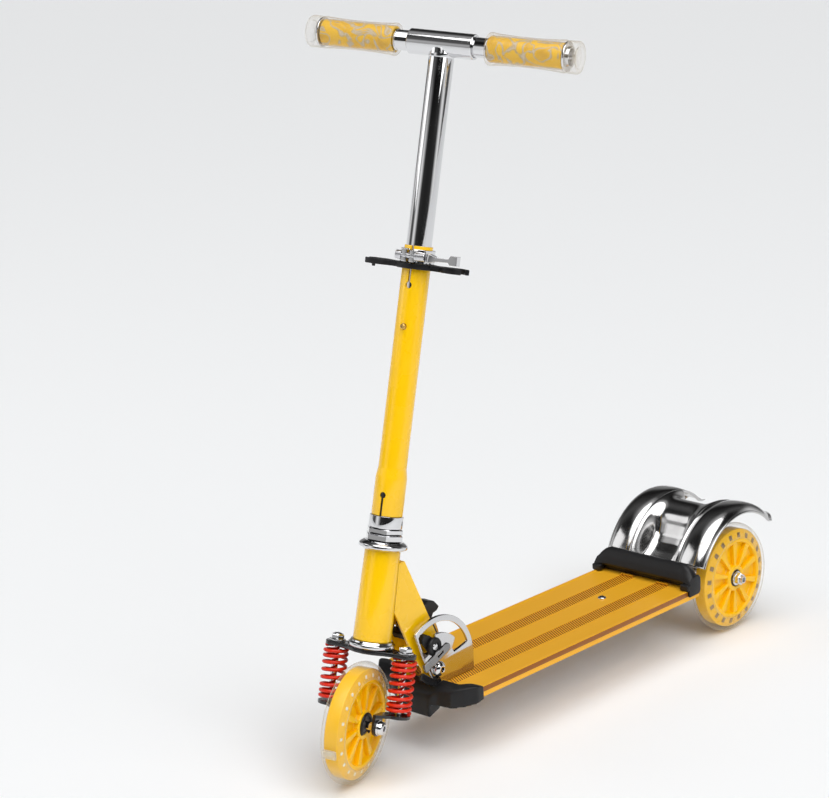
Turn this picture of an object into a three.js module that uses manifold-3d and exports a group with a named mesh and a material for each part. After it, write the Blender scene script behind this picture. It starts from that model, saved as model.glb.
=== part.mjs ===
// A child's folding kick scooter: two red coil springs over the front wheel, a telescopic
// T-bar, a half-moon folding bracket, a gold deck, two rear wheels and a chrome foot brake.
// Millimetres, +Z up, the scooter rolls towards -Y and +X is the rider's left.
import * as THREE from 'three';
import { mergeVertices } from 'three/addons/utils/BufferGeometryUtils.js';
import Module from 'manifold-3d';

// ---------------------------------------------------------------- driving dimensions
const GAP = 0.3; // clearance between neighbouring pieces
const DEGREE = Math.PI / 180;
const WHEEL_SIDES = 24; // flats around a wheel
const ROUND_SIDES = 24; // around a tube
const SMALL_SIDES = 14; // around an axle, bolt or pin

// wheels
const WHEEL_RADIUS = 60;
const WHEEL_WIDTH = 24;
const CORE_WIDTH = 20;
const CORE_RADIUS = 52; // outer edge of the plastic core inside the clear tyre
const CORE_STEP_RADIUS = 42.2; // the core's raised disc ends here
const BEARING_RADIUS = 9;
const AXLE_RADIUS = 4;
const WHEELBASE = 548.9;
const REAR_TRACK = 94; // between the two rear wheels' middles
const SPOKE_PAIRS = 5;

// steering axis: it leans back and passes behind the front axle
const RAKE = 13.3 * DEGREE;
const REST_STEER = 16.35 * DEGREE; // the handlebar stands turned to the rider's left
const STEER_AXIS_Y = 13.9; // where the axis crosses axle height
const AXLE_AHEAD = 13.5;
const AXLE_DROP = 3.2;

// heights measured along the steering axis, from axle height
const CROWN_BOTTOM = 64.5;
const CROWN_TOP = 68.5;
const HEAD_BOTTOM = 76.5;
const HEAD_TOP = 163;
const UPPER_CUP_TOP = 171.7;
const LOCK_NUT_TOP = 178.5;
const TOP_NUT_TOP = 184.2;
const COLLAR_TOP = 196;
const FLARE_START = 232;
const FLARE_END = 241.5;
const HOLDER_BOTTOM = 430.3;
const HOLDER_TOP = 435.6;
const CLAMP_TOP = 449;
const COLUMN_TOP = 452;
const BAR_HEIGHT = 640.7;
const STEM_BOTTOM = 330;
const BUTTON_HEIGHT = 376;

// band clamp at the top of the column
const CLAMP_PIN_Y = -20.5;
const CLAMP_PIN_Z = 442.5;
const CLAMP_PIN_RADIUS = 2.5;
const CLAMP_LEVER_X = 22; // the lever's own pin

// grip holder
const HOOK_X = 39;
const HOOK_OUTER = 14;
const HOOK_INNER = 10.2;

// tubes of the steering column
const STEM_RADIUS = 12;
const STEM_BORE = 10.6;
const COLUMN_RADIUS = 13.5;
const COLUMN_BORE = 12.3;
const FLARE_RADIUS = 15;
const FLARE_BORE = 13.9;
const STEERER_RADIUS = 13.6;
const HEAD_RADIUS_TOP = 17;
const HEAD_RADIUS_BOTTOM = 18.5;

// handlebar
const SLEEVE_HALF = 33;
const GRIP_TUBE_RADIUS = 9.5;
const GRIP_START = 47.7;
const GRIP_END = 124.3;
const BAR_HALF = 138;
const GRIP_FLANGE = 15.5;
const GRIP_WAIST = 14;

// front suspension
const SPRING_X = 36;
const SPRING_RADIUS = 10.7; // middle of the wire
const SPRING_WIRE = 1.7;
const SPRING_TURNS = 8.5;
const SPRING_STEPS = 8; // straight pieces in one turn
const SEAT_TOP = 10;
const SEAT_RADIUS = 12;

// deck
const DECK_TOP = 72.3;
const DECK_HALF = 61.6;
const DECK_FRONT = 104;
const DECK_REAR = 474;
const DECK_SKIN = 3.4;
const DECK_SCREW_Y = 386;
const DECK_SCREW_RADIUS = 2.6;
const SCREW_HEAD_RADIUS = 4.6;
const SCREW_RECESS = 0.8; // how deep the head sits in the deck
const GRIP_STRIPS = [[-28, -14], [16, 31]]; // the two raised strips underfoot, as spans of x
const GRIP_STRIP_FRONT = 153;
const GRIP_STRIP_REAR = 455;
const GRIP_STRIP_HEIGHT = 0.3;
const FRAME_HALF = 30;
const FRAME_BOTTOM = 47;
// the front cap's plan, as points (x, y) from its middle to its +X tip and back
const CAP_FRONT = [[0, 84], [24, 84], [30, 87.5], [45, 90], [56, 98], [64, 108]];
const CAP_BACK = [[64, 118], [55, 118], [45, DECK_FRONT], [0, DECK_FRONT]];

// folding bracket: everything turns about this pivot
const PIVOT_Y = 98;
const PIVOT_Z = 89;
const PLATE_INNER_X = 20.3;
const PLATE_OUTER_X = 23.3;
const PLATE_RADIUS = 53;
const WINDOW_OUTER = 47;
const WINDOW_INNER = 35.5;
const NOTCH_RADIUS = 26;
const GUSSET_HALF = 15.5;
const GUSSET_WALL = 2.2;

// fold latch, inside and beside the bracket
const LATCH_RADIUS = 40; // from the pivot to the latch block
const LATCH_ANGLE = -28; // where the block stands in the arc window, from straight up
const LATCH_SLIDE_LEAN = -26; // the latch slides along the leg
const LATCH_TRAVEL = 3;
const LINK_OUTER_X = 25.5;
const KNOB_Y = 89;
const KNOB_Z = 115;
const KNOB_RADIUS = 9.3;
const KNOB_DEPTH = 3.7;
const LEVER_START = [102, 111.5]; // the lever's round end, at its hinge
const LEVER_END = [69.5, 98.5];
const LEVER_INNER_X = LINK_OUTER_X + KNOB_DEPTH + 2 * GAP;
const LEVER_THICK = 3;

// foot brake
const FENDER_RADIUS = 80.5; // inside of the lobes, about the rear axle
const FENDER_SKIN = 2.2;
const LOBE_INNER_X = 30.4;
const LOBE_OUTER_X = 63.5;
const SADDLE_RADIUS = 24.5;
const SADDLE_Y = 539;
const SADDLE_Z = 114;
const BRAKE_PIN_Y = 482;
const BRAKE_PIN_Z = 80;
const BRAKE_PIN_RADIUS = 3;

// ---------------------------------------------------------------- materials
const plain = (color, roughness, metalness) => ({ color, roughness, metalness });
const YELLOW_PAINT = plain(0xfac300, 0.3, 0.1);
const GOLD_DECK = plain(0xdca028, 0.3, 0.9);
const CHROME = plain(0xe4e4e6, 0.08, 1);
const STEEL = plain(0xbcbcc0, 0.3, 1);
const ALUMINIUM = plain(0xb8babd, 0.4, 1);
const BRASS = plain(0xc79a3c, 0.3, 1);
const BLACK_PAINT = plain(0x1c1c1e, 0.35, 0.2);
const BLACK_PLASTIC = plain(0x2a2a2b, 0.55, 0);
const CLEAR_PLASTIC = plain(0xf1ead6, 0.1, 0);
const YELLOW_PLASTIC = plain(0xfcbf00, 0.4, 0);
const RED_SPRING = plain(0xd8321c, 0.35, 0.1);

// ---------------------------------------------------------------- solids
const wasm = await Module();
wasm.setup();

/** Turns a closed three.js geometry into a solid that can be joined and cut. */
function solid(geometry) {
  const bare = geometry.index ? geometry.toNonIndexed() : geometry.clone();
  bare.deleteAttribute('normal');
  bare.deleteAttribute('uv');
  const merged = mergeVertices(bare, 1e-4);
  const corners = merged.index.array;
  const triangles = [];
  for (let i = 0; i < corners.length; i += 3) {
    const [a, b, c] = [corners[i], corners[i + 1], corners[i + 2]];
    if (a !== b && b !== c && c !== a) triangles.push(a, b, c);
  }
  const build = (list) => new wasm.Manifold(new wasm.Mesh({
    numProp: 3,
    vertProperties: Float32Array.from(merged.attributes.position.array),
    triVerts: Uint32Array.from(list),
  }));
  const first = build(triangles);
  return first.volume() > 0 ? first : build(triangles.reverse());
}

/** The three.js geometry of a finished solid. */
function geometryOf(shape) {
  const mesh = shape.getMesh();
  const geometry = new THREE.BufferGeometry();
  geometry.setAttribute('position', new THREE.BufferAttribute(mesh.vertProperties, 3));
  geometry.setIndex(new THREE.BufferAttribute(mesh.triVerts, 1));
  geometry.computeVertexNormals();
  return geometry;
}

const join = (shapes) => shapes.reduce((whole, shape) => whole.add(shape));
const cut = (shape, tools) => tools.reduce((left, tool) => left.subtract(tool), shape);

/** A box given by its lowest and highest corners. */
function block(low, high) {
  const size = high.map((value, axis) => value - low[axis]);
  const middle = high.map((value, axis) => (value + low[axis]) / 2);
  return solid(new THREE.BoxGeometry(...size).translate(...middle));
}

/** A solid of revolution about Z; the profile is a list of [radius, height]. */
function turned(profile, sides = ROUND_SIDES) {
  const points = profile.map(([radius, height]) => new THREE.Vector2(radius, height));
  return solid(new THREE.LatheGeometry(points, sides).rotateX(Math.PI / 2));
}

/** A tube about Z between two heights, or a rod when the bore is 0. */
function tube(outer, bore, low, high, sides = ROUND_SIDES) {
  const profile = [[bore, low], [outer, low], [outer, high], [bore, high]];
  if (bore > 0) profile.push([bore, low]);
  return turned(profile, sides);
}

/** A prism about Z with flat sides, such as a hexagon nut. */
const prism = (sides, radius, low, high) => tube(radius, 0, low, high, sides);

/** The outline of straight lines through a list of points. */
const outline = (points) => new THREE.Shape(points.map(([a, b]) => new THREE.Vector2(a, b)));

const extrude = (shape, depth, curveSegments = 12) =>
  new THREE.ExtrudeGeometry(shape, { depth, bevelEnabled: false, curveSegments });

/** An outline drawn in (x, y), standing between two heights. */
const standing = (shape, low, high, segments) =>
  solid(extrude(shape, high - low, segments).translate(0, 0, low));

/** An outline drawn in (y, z), running across the scooter between two x places. */
function across(shape, low, high, segments) {
  const sideways = new THREE.Matrix4().makeBasis(
    new THREE.Vector3(0, 1, 0), new THREE.Vector3(0, 0, 1), new THREE.Vector3(1, 0, 0));
  return solid(extrude(shape, high - low, segments).applyMatrix4(sideways).translate(low, 0, 0));
}

/** An outline drawn in (x, z), running along the scooter between two y places. */
function along(shape, low, high) {
  const lengthways = new THREE.Matrix4().makeBasis(
    new THREE.Vector3(1, 0, 0), new THREE.Vector3(0, 0, 1), new THREE.Vector3(0, -1, 0));
  return solid(extrude(shape, high - low).applyMatrix4(lengthways).translate(0, high, 0));
}

const moved = (shape, x, y, z) => shape.translate([x, y, z]);
const turnedToX = (shape) => shape.rotate([0, 90, 0]); // Z becomes X
const turnedToY = (shape) => shape.rotate([90, 0, 0]); // Z becomes -Y

/** A rod across the scooter at a place in the side view. */
const crossRod = (radius, low, high, y, z, sides = SMALL_SIDES) =>
  moved(turnedToX(tube(radius, 0, low, high, sides)), 0, y, z);

/** A point at an angle from straight up, leaning back when positive, about the folding pivot. */
const aboutPivot = (radius, angle) =>
  [PIVOT_Y + radius * Math.sin(angle * DEGREE), PIVOT_Z + radius * Math.cos(angle * DEGREE)];

/** Points along an arc about the folding pivot, between two angles from straight up. */
function pivotArc(radius, from, to, steps) {
  const points = [];
  for (let i = 0; i <= steps; i += 1) points.push(aboutPivot(radius, from + ((to - from) * i) / steps));
  return points;
}

/** Points along an arc in the side view about any centre, angles from +Y towards +Z. */
function sideArc(centreY, centreZ, radius, from, to, steps) {
  const points = [];
  for (let i = 0; i <= steps; i += 1) {
    const angle = (from + ((to - from) * i) / steps) * DEGREE;
    points.push([centreY + radius * Math.cos(angle), centreZ + radius * Math.sin(angle)]);
  }
  return points;
}

// ---------------------------------------------------------------- the scene graph
const scooter = new THREE.Group();
scooter.name = 'kick_scooter';

/** The frame that stands along the leaning steering axis but doesn't turn with the bar. */
const headFrame = new THREE.Group();
headFrame.position.set(0, STEER_AXIS_Y, WHEEL_RADIUS);
headFrame.rotation.x = -RAKE;
scooter.add(headFrame);

/** The frame that turns with the handlebar. */
const steeredFrame = new THREE.Group();
steeredFrame.rotation.z = REST_STEER;
headFrame.add(steeredFrame);

function place(parent, name, shape, look) {
  const mesh = new THREE.Mesh(geometryOf(shape), new THREE.MeshStandardMaterial(look));
  mesh.name = name;
  parent.add(mesh);
  return mesh;
}

// ---------------------------------------------------------------- wheels
/** The yellow wheel core, about X: hub, paired spokes and a stepped rim. */
function wheelCore() {
  const half = CORE_WIDTH / 2;
  const hubRadius = 14;
  const rimStep = 7;
  const rim = turned([
    [CORE_STEP_RADIUS - 3, -half], [CORE_STEP_RADIUS, -half], [CORE_RADIUS, -rimStep],
    [CORE_RADIUS, rimStep], [CORE_STEP_RADIUS, half], [CORE_STEP_RADIUS - 3, half],
    [CORE_STEP_RADIUS - 3, -half],
  ], WHEEL_SIDES);
  const hub = tube(hubRadius, 0, -half, half, 20);
  const spokeLength = CORE_STEP_RADIUS - 1;
  const spokes = [];
  for (let pair = 0; pair < SPOKE_PAIRS; pair += 1) {
    for (const lean of [-11, 11]) {
      const spoke = block([0, -2.2, -8], [spokeLength, 2.2, 8]);
      spokes.push(spoke.rotate([0, 0, (360 / SPOKE_PAIRS) * pair + lean]));
    }
  }
  const web = tube(CORE_STEP_RADIUS - 1, 0, -1.5, 1.5, WHEEL_SIDES);
  const windows = [];
  for (let pair = 0; pair < SPOKE_PAIRS; pair += 1) {
    const middle = (360 / SPOKE_PAIRS) * (pair + 0.5);
    const opening = standing(outline([[20, -4], [37, -10], [37, 10], [20, 4]]), -3, 3);
    windows.push(opening.rotate([0, 0, middle]));
  }
  const bore = tube(BEARING_RADIUS + GAP, 0, -half - 1, half + 1, 20);
  return turnedToX(cut(join([rim, hub, cut(web, windows), ...spokes]), [bore]));
}

/** The clear tyre, about X, cast around the core. */
function wheelTyre() {
  const half = WHEEL_WIDTH / 2;
  const inner = CORE_RADIUS + GAP;
  const shoulder = 48.5;
  const sideInner = CORE_STEP_RADIUS + GAP + 1;
  const profile = [[inner, -7], [sideInner, -half + 1.3], [shoulder, -half]];
  for (let angle = -60; angle <= 60; angle += 30) {
    profile.push([shoulder + (WHEEL_RADIUS - shoulder) * Math.cos(angle * DEGREE),
      half * Math.sin(angle * DEGREE)]);
  }
  profile.push([shoulder, half], [sideInner, half - 1.3], [inner, 7], [inner, -7]);
  return turnedToX(turned(profile, WHEEL_SIDES));
}

/** A sealed ball bearing, about X, on the axle. */
const bearing = () =>
  turnedToX(tube(BEARING_RADIUS, AXLE_RADIUS + GAP, -CORE_WIDTH / 2, CORE_WIDTH / 2, 20));

function addWheel(parent, prefix, x, y, z) {
  const wheel = new THREE.Group();
  wheel.position.set(x, y, z);
  parent.add(wheel);
  place(wheel, `${prefix}_tyre`, wheelTyre(), CLEAR_PLASTIC);
  place(wheel, `${prefix}_core`, wheelCore(), YELLOW_PLASTIC);
  place(wheel, `${prefix}_bearing`, bearing(), STEEL);
}

// ---------------------------------------------------------------- front suspension and wheel
/** The black crown plate with the steel steerer tube welded on it. */
function forkCrown() {
  const middle = prism(ROUND_SIDES, 20.5, CROWN_BOTTOM, CROWN_TOP);
  const arms = standing(outline([
    [-SPRING_X, -9], [-22, -9.5], [-14, -15], [14, -15], [22, -9.5], [SPRING_X, -9],
    [SPRING_X, 9], [22, 9.5], [14, 15], [-14, 15], [-22, 9.5], [-SPRING_X, 9],
  ]), CROWN_BOTTOM, CROWN_TOP);
  const lobe = prism(16, 11, CROWN_BOTTOM, CROWN_TOP);
  const hole = prism(SMALL_SIDES, 3.2 + GAP, CROWN_BOTTOM - 1, CROWN_TOP + 1);
  const plate = join([middle, arms, moved(lobe, SPRING_X, 0, 0), moved(lobe, -SPRING_X, 0, 0)]);
  const steerer = tube(STEERER_RADIUS, COLUMN_BORE, CROWN_TOP - 1, FLARE_START + 4);
  const boreCut = tube(COLUMN_BORE, 0, CROWN_BOTTOM - 1, CROWN_TOP + 1);
  return cut(join([plate, steerer]),
    [boreCut, moved(hole, SPRING_X, 0, 0), moved(hole, -SPRING_X, 0, 0)]);
}

/** A guide bolt: its hexagon head rests on the crown, its shank runs down the spring. */
function guideBolt() {
  const head = prism(6, 6.6, CROWN_TOP + GAP + 1.6, CROWN_TOP + 6.4);
  const washer = prism(SMALL_SIDES, 8, CROWN_TOP + GAP, CROWN_TOP + GAP + 1.8);
  const dome = turned([
    [0, CROWN_TOP + 6], [4.6, CROWN_TOP + 6], [3.4, CROWN_TOP + 7.6], [0, CROWN_TOP + 8],
  ], 12);
  const shank = prism(SMALL_SIDES, 3.2, SEAT_TOP + GAP, CROWN_TOP + 1);
  return join([head, washer, dome, shank]);
}

/** A compression spring wound between the crown and the lower seat. */
function coilSpring() {
  const low = SEAT_TOP + GAP + SPRING_WIRE;
  const high = CROWN_BOTTOM - GAP - SPRING_WIRE;
  class Helix extends THREE.Curve {
    getPoint(t, target = new THREE.Vector3()) {
      const angle = t * SPRING_TURNS * 2 * Math.PI;
      const height = low + t * (high - low);
      return target.set(SPRING_RADIUS * Math.cos(angle), SPRING_RADIUS * Math.sin(angle), height);
    }
  }
  const wire = new THREE.Shape().absarc(0, 0, SPRING_WIRE, 0, 2 * Math.PI);
  return solid(new THREE.ExtrudeGeometry(wire, {
    steps: Math.round(SPRING_TURNS * SPRING_STEPS),
    extrudePath: new Helix(),
    bevelEnabled: false,
    curveSegments: 3,
  }));
}

/** A lower bracket: round spring seat outside, tab down to the axle inside. Made for +X. */
function lowerBracket() {
  const seatBottom = SEAT_TOP - 3;
  const seat = moved(prism(16, SEAT_RADIUS, seatBottom, SEAT_TOP), SPRING_X, 0, 0);
  const bridge = standing(outline([
    [20, -22], [23.2, -22], [SPRING_X, -10], [SPRING_X, 8], [26, 4], [20, -5],
  ]), seatBottom, SEAT_TOP);
  const tabRadius = 8.5;
  const tab = join([
    block([20, -AXLE_AHEAD - tabRadius, -AXLE_DROP], [23.2, -AXLE_AHEAD + tabRadius, SEAT_TOP]),
    crossRod(tabRadius, 20, 23.2, -AXLE_AHEAD, -AXLE_DROP),
  ]);
  const hole = crossRod(AXLE_RADIUS + GAP, 19, 24, -AXLE_AHEAD, -AXLE_DROP);
  return cut(join([seat, bridge, tab]), [hole]);
}

/** The front axle bolt with its round head on +X. */
function frontAxle() {
  const shank = crossRod(AXLE_RADIUS, -24, 24, -AXLE_AHEAD, -AXLE_DROP);
  const head = crossRod(6.5, 23.2 + GAP, 28, -AXLE_AHEAD, -AXLE_DROP);
  const button = crossRod(4.2, 27, 30, -AXLE_AHEAD, -AXLE_DROP);
  return join([shank, head, button]);
}

/** A hexagon nut about X whose bore clears a shaft. */
function crossNut(radius, bore, low, high, y, z) {
  const nut = cut(prism(6, radius, low, high), [prism(SMALL_SIDES, bore, low - 1, high + 1)]);
  return moved(turnedToX(nut), 0, y, z);
}

const mirrored = (shape) => shape.mirror([1, 0, 0]);

function addFrontEnd() {
  place(steeredFrame, 'fork_crown', forkCrown(), BLACK_PAINT);
  for (const [side, x] of [['left', SPRING_X], ['right', -SPRING_X]]) {
    place(steeredFrame, `${side}_guide_bolt`, moved(guideBolt(), x, 0, 0), CHROME);
    place(steeredFrame, `${side}_spring`, moved(coilSpring(), x, 0, 0), RED_SPRING);
  }
  place(steeredFrame, 'left_lower_bracket', lowerBracket(), BLACK_PAINT);
  place(steeredFrame, 'right_lower_bracket', mirrored(lowerBracket()), BLACK_PAINT);
  place(steeredFrame, 'front_axle', frontAxle(), CHROME);
  place(steeredFrame, 'front_axle_nut',
    crossNut(7, AXLE_RADIUS + GAP, -28, -23.2 - GAP, -AXLE_AHEAD, -AXLE_DROP), CHROME);
  addWheel(steeredFrame, 'front', 0, -AXLE_AHEAD, -AXLE_DROP);
}

// ---------------------------------------------------------------- head tube and folding leg
/** The slightly conical head tube. */
const headTube = () => turned([
  [STEERER_RADIUS + GAP, HEAD_BOTTOM], [HEAD_RADIUS_BOTTOM, HEAD_BOTTOM],
  [HEAD_RADIUS_TOP, HEAD_TOP], [STEERER_RADIUS + GAP, HEAD_TOP], [STEERER_RADIUS + GAP, HEAD_BOTTOM],
]);

const lowerCup = () => turned([
  [STEERER_RADIUS + GAP, CROWN_TOP + GAP], [21, CROWN_TOP + GAP], [22.5, CROWN_TOP + 2],
  [22.5, HEAD_BOTTOM - 2], [20, HEAD_BOTTOM - GAP], [STEERER_RADIUS + GAP, HEAD_BOTTOM - GAP],
  [STEERER_RADIUS + GAP, CROWN_TOP + GAP],
]);

const upperCup = () => turned([
  [STEERER_RADIUS + GAP, HEAD_TOP + GAP], [20, HEAD_TOP + GAP], [23.5, HEAD_TOP + 3.5],
  [23.5, UPPER_CUP_TOP - 2], [19, UPPER_CUP_TOP], [STEERER_RADIUS + GAP, UPPER_CUP_TOP],
  [STEERER_RADIUS + GAP, HEAD_TOP + GAP],
]);

/** The folded-sheet leg behind the head tube, open in front, ending at the folding pivot. */
function foldingLeg() {
  const side = outline([
    [46, 160], [49.8, 155], [69, 113], [84, 90], ...sideArc(PIVOT_Y, PIVOT_Z, 15.5, 215, 320, 6),
    [116, 99], [97.2, 139], [64.5, 206], [50, 206],
  ]);
  const inside = outline([
    [30, 160], [30, 70], [100, 60], [111, 74], [113.6, 98], [94.8, 138], [61, 206], [61, 215], [30, 215],
  ]);
  const shell = cut(across(side, -GUSSET_HALF, GUSSET_HALF),
    [across(inside, -GUSSET_HALF + GUSSET_WALL, GUSSET_HALF - GUSSET_WALL)]);
  const leaning = (shape) => moved(shape.rotate([-RAKE / DEGREE, 0, 0]), 0, STEER_AXIS_Y, WHEEL_RADIUS);
  const tubeRoom = leaning(turned([
    [0, HEAD_BOTTOM - 1], [HEAD_RADIUS_BOTTOM + GAP, HEAD_BOTTOM - 1],
    [HEAD_RADIUS_TOP + GAP, HEAD_TOP], [HEAD_RADIUS_TOP + GAP, HEAD_TOP + 40], [0, HEAD_TOP + 40],
  ]));
  const front = leaning(block([-30, -30, 40], [30, 6, 240]));
  const pivotHole = crossRod(AXLE_RADIUS + GAP, -30, 30, PIVOT_Y, PIVOT_Z);
  return cut(shell, [tubeRoom, front, pivotHole, latchRoom()]);
}

// ---------------------------------------------------------------- fold latch
/** A box centred on a place in the side view, turned to lean back by an angle. */
function leaningBlock(halfX, halfAcross, low, high, [y, z], lean) {
  const standingBlock = block([-halfX, -halfAcross, low], [halfX, halfAcross, high]);
  return moved(standingBlock.rotate([-lean, 0, 0]), 0, y, z);
}

/** The room that the latch block and its slide need in the leg. */
const latchRoom = () => join([
  leaningBlock(20, 4.6, -4, 4 + LATCH_TRAVEL, aboutPivot(LATCH_RADIUS, LATCH_ANGLE), LATCH_SLIDE_LEAN),
  leaningBlock(4.5, 30, 12, 20 + LATCH_TRAVEL, aboutPivot(LATCH_RADIUS, LATCH_ANGLE), LATCH_SLIDE_LEAN),
]);

/** The black slider through both windows, with a link down to the knob on each side. */
function latchSlider() {
  const centre = aboutPivot(LATCH_RADIUS, LATCH_ANGLE);
  const bar = leaningBlock(LINK_OUTER_X, 4, -3.3, 3.3, centre, LATCH_SLIDE_LEAN);
  const link = outline([
    [centre[0] - 5, centre[1] - 2], [KNOB_Y - 6, KNOB_Z - 5], [KNOB_Y + 5, KNOB_Z - 6],
    [KNOB_Y + 5, KNOB_Z + 5], [centre[0] + 5, centre[1] + 3], [centre[0] - 3, centre[1] + 5],
  ]);
  const near = across(link, PLATE_OUTER_X + GAP, LINK_OUTER_X);
  const far = across(link, -LINK_OUTER_X, -PLATE_OUTER_X - GAP);
  const tongue = leaningBlock(3.6, 2.5, 2, 18, centre, LATCH_SLIDE_LEAN);
  return join([bar, near, far, tongue]);
}

/** The thumb hook behind the leg, with a tongue through the leg's back. */
function releaseTrigger() {
  const hook = outline([
    [98.6, 142], [96.2, 147], [106, 152], [114, 150], [121, 142.5], [117, 139], [112, 138], [109.5, 133],
    [118.5, 114.5], [116, 113], [106.5, 131],
  ]);
  return across(hook, -7, 7);
}

/** The black knob with its hexagon socket, outside the near plate. */
function latchKnob() {
  const start = LINK_OUTER_X + GAP;
  const round = crossRod(KNOB_RADIUS, start, start + KNOB_DEPTH, KNOB_Y, KNOB_Z, 20);
  const socket = crossRod(3, start + KNOB_DEPTH - 1.2, start + KNOB_DEPTH + 1, KNOB_Y, KNOB_Z, 6);
  return cut(round, [socket]);
}

/** The flat release lever, lying down along the bracket's front. */
function foldLever() {
  const length = Math.hypot(LEVER_START[0] - LEVER_END[0], LEVER_START[1] - LEVER_END[1]);
  const slope = Math.atan2(LEVER_START[1] - LEVER_END[1], LEVER_START[0] - LEVER_END[0]) / DEGREE;
  const width = 4.4;
  const bar = new THREE.Shape();
  bar.absarc(0, 0, width, Math.PI / 2, -Math.PI / 2, true);
  bar.lineTo(-length, -width);
  bar.lineTo(-length, width);
  const slot = outline([[-14, -1.2], [-6, -1.2], [-6, 1.2], [-14, 1.2]]);
  bar.holes.push(slot);
  const flat = across(bar, LEVER_INNER_X, LEVER_INNER_X + LEVER_THICK, 5);
  return moved(flat.rotate([slope, 0, 0]), 0, ...LEVER_START);
}

/** A half-moon side plate with its arc window and two notches. */
function halfMoonPlate(low, high) {
  const side = outline([
    ...pivotArc(PLATE_RADIUS, -36, 86, 14), [151, 72.6], [92.5, 72.6], [89.5, 81.7], [77.8, 106.3],
  ]);
  const frontNotch = [aboutPivot(29, -43), ...pivotArc(NOTCH_RADIUS, -30, -6, 3)];
  const rearNotch = pivotArc(NOTCH_RADIUS, 56, 68, 2);
  const window = outline([
    ...pivotArc(WINDOW_OUTER, 72, -34.5, 12), aboutPivot(38, -38), ...frontNotch,
    ...pivotArc(WINDOW_INNER, -4, 48, 6), ...rearNotch,
  ]);
  const pivotHole = crossRod(AXLE_RADIUS + GAP, low - 1, high + 1, PIVOT_Y, PIVOT_Z);
  return cut(across(side, low, high), [across(window, low - 1, high + 1), pivotHole]);
}

/** The folding pivot bolt with its broad domed head. */
function pivotBolt() {
  const shank = crossRod(AXLE_RADIUS, -28.5, PLATE_OUTER_X + 1, PIVOT_Y, PIVOT_Z);
  const head = moved(turnedToX(turned([
    [0, PLATE_OUTER_X + GAP], [7.5, PLATE_OUTER_X + GAP], [7.5, PLATE_OUTER_X + 2], [5.5, PLATE_OUTER_X + 5],
    [0, PLATE_OUTER_X + 6],
  ], 20)), 0, PIVOT_Y, PIVOT_Z);
  return join([shank, head]);
}

/** The small curved strap in front of the near plate's foot. */
function stopStrap() {
  const strap = outline([
    [69.5, 90.5], [74, 92], [82, 86], [90, 81], [97.5, 81.5], [98.5, 76.5], [89, 74], [79, 79], [70.5, 86],
  ]);
  return cut(across(strap, PLATE_OUTER_X + GAP, PLATE_OUTER_X + 3), [crossRod(8, 20, 30, PIVOT_Y, PIVOT_Z)]);
}

function addHeadAndFold() {
  place(headFrame, 'head_tube', headTube(), YELLOW_PAINT);
  place(headFrame, 'lower_cup', lowerCup(), CHROME);
  place(headFrame, 'upper_cup', upperCup(), CHROME);
  place(scooter, 'folding_leg', foldingLeg(), YELLOW_PAINT);
  place(scooter, 'latch_slider', latchSlider(), BLACK_PLASTIC);
  place(scooter, 'release_trigger', releaseTrigger(), BLACK_PLASTIC);
  place(scooter, 'latch_knob', latchKnob(), BLACK_PLASTIC);
  place(scooter, 'fold_lever', foldLever(), CHROME);
  place(scooter, 'left_fold_plate', halfMoonPlate(PLATE_INNER_X, PLATE_OUTER_X), CHROME);
  place(scooter, 'right_fold_plate', halfMoonPlate(-PLATE_OUTER_X, -PLATE_INNER_X), CHROME);
  place(scooter, 'pivot_bolt', pivotBolt(), CHROME);
  place(scooter, 'pivot_nut',
    crossNut(7.5, AXLE_RADIUS + GAP, -27, -PLATE_OUTER_X - GAP, PIVOT_Y, PIVOT_Z), CHROME);
  place(scooter, 'stop_strap', stopStrap(), BLACK_PAINT);
}

// ---------------------------------------------------------------- steering column
/** The yellow outer tube: flared foot, and a keyhole slot in front at each end. */
function columnTube() {
  const shell = turned([
    [FLARE_BORE, COLLAR_TOP + GAP], [FLARE_RADIUS, COLLAR_TOP + GAP], [FLARE_RADIUS, FLARE_START],
    [COLUMN_RADIUS, FLARE_END], [COLUMN_RADIUS, COLUMN_TOP], [COLUMN_BORE, COLUMN_TOP],
    [COLUMN_BORE, FLARE_END], [FLARE_BORE, FLARE_START + 6], [FLARE_BORE, COLLAR_TOP + GAP],
  ]);
  const topSlot = block([-1.3, -20, 415], [1.3, -5, COLUMN_TOP + 1]);
  const topHole = moved(turnedToY(prism(SMALL_SIDES, 3.2, 5, 20)), 0, 0, 415);
  const footSlot = block([-1.2, -20, COLLAR_TOP], [1.2, -5, 216]);
  const footHole = moved(turnedToY(prism(SMALL_SIDES, 3, 5, 20)), 0, 0, 216);
  const buttonHole = moved(turnedToY(prism(SMALL_SIDES, 2.8 + GAP, 5, 20)), 0, 0, BUTTON_HEIGHT);
  return cut(shell, [topSlot, topHole, footSlot, footHole, buttonHole]);
}

/** The sprung height button in the front of the column. */
function heightButton() {
  const dome = turned([[0, 13.4], [2.8, 13.4], [2.8, 15.2], [1.9, 16.2], [0, 16.6]], SMALL_SIDES);
  return moved(turnedToY(dome), 0, 0, BUTTON_HEIGHT);
}

/** A hexagon nut around the steerer tube. */
function steererNut(radius, low, high) {
  return cut(prism(6, radius, low, high), [prism(ROUND_SIDES, STEERER_RADIUS + GAP, low - 1, high + 1)]);
}

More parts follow.
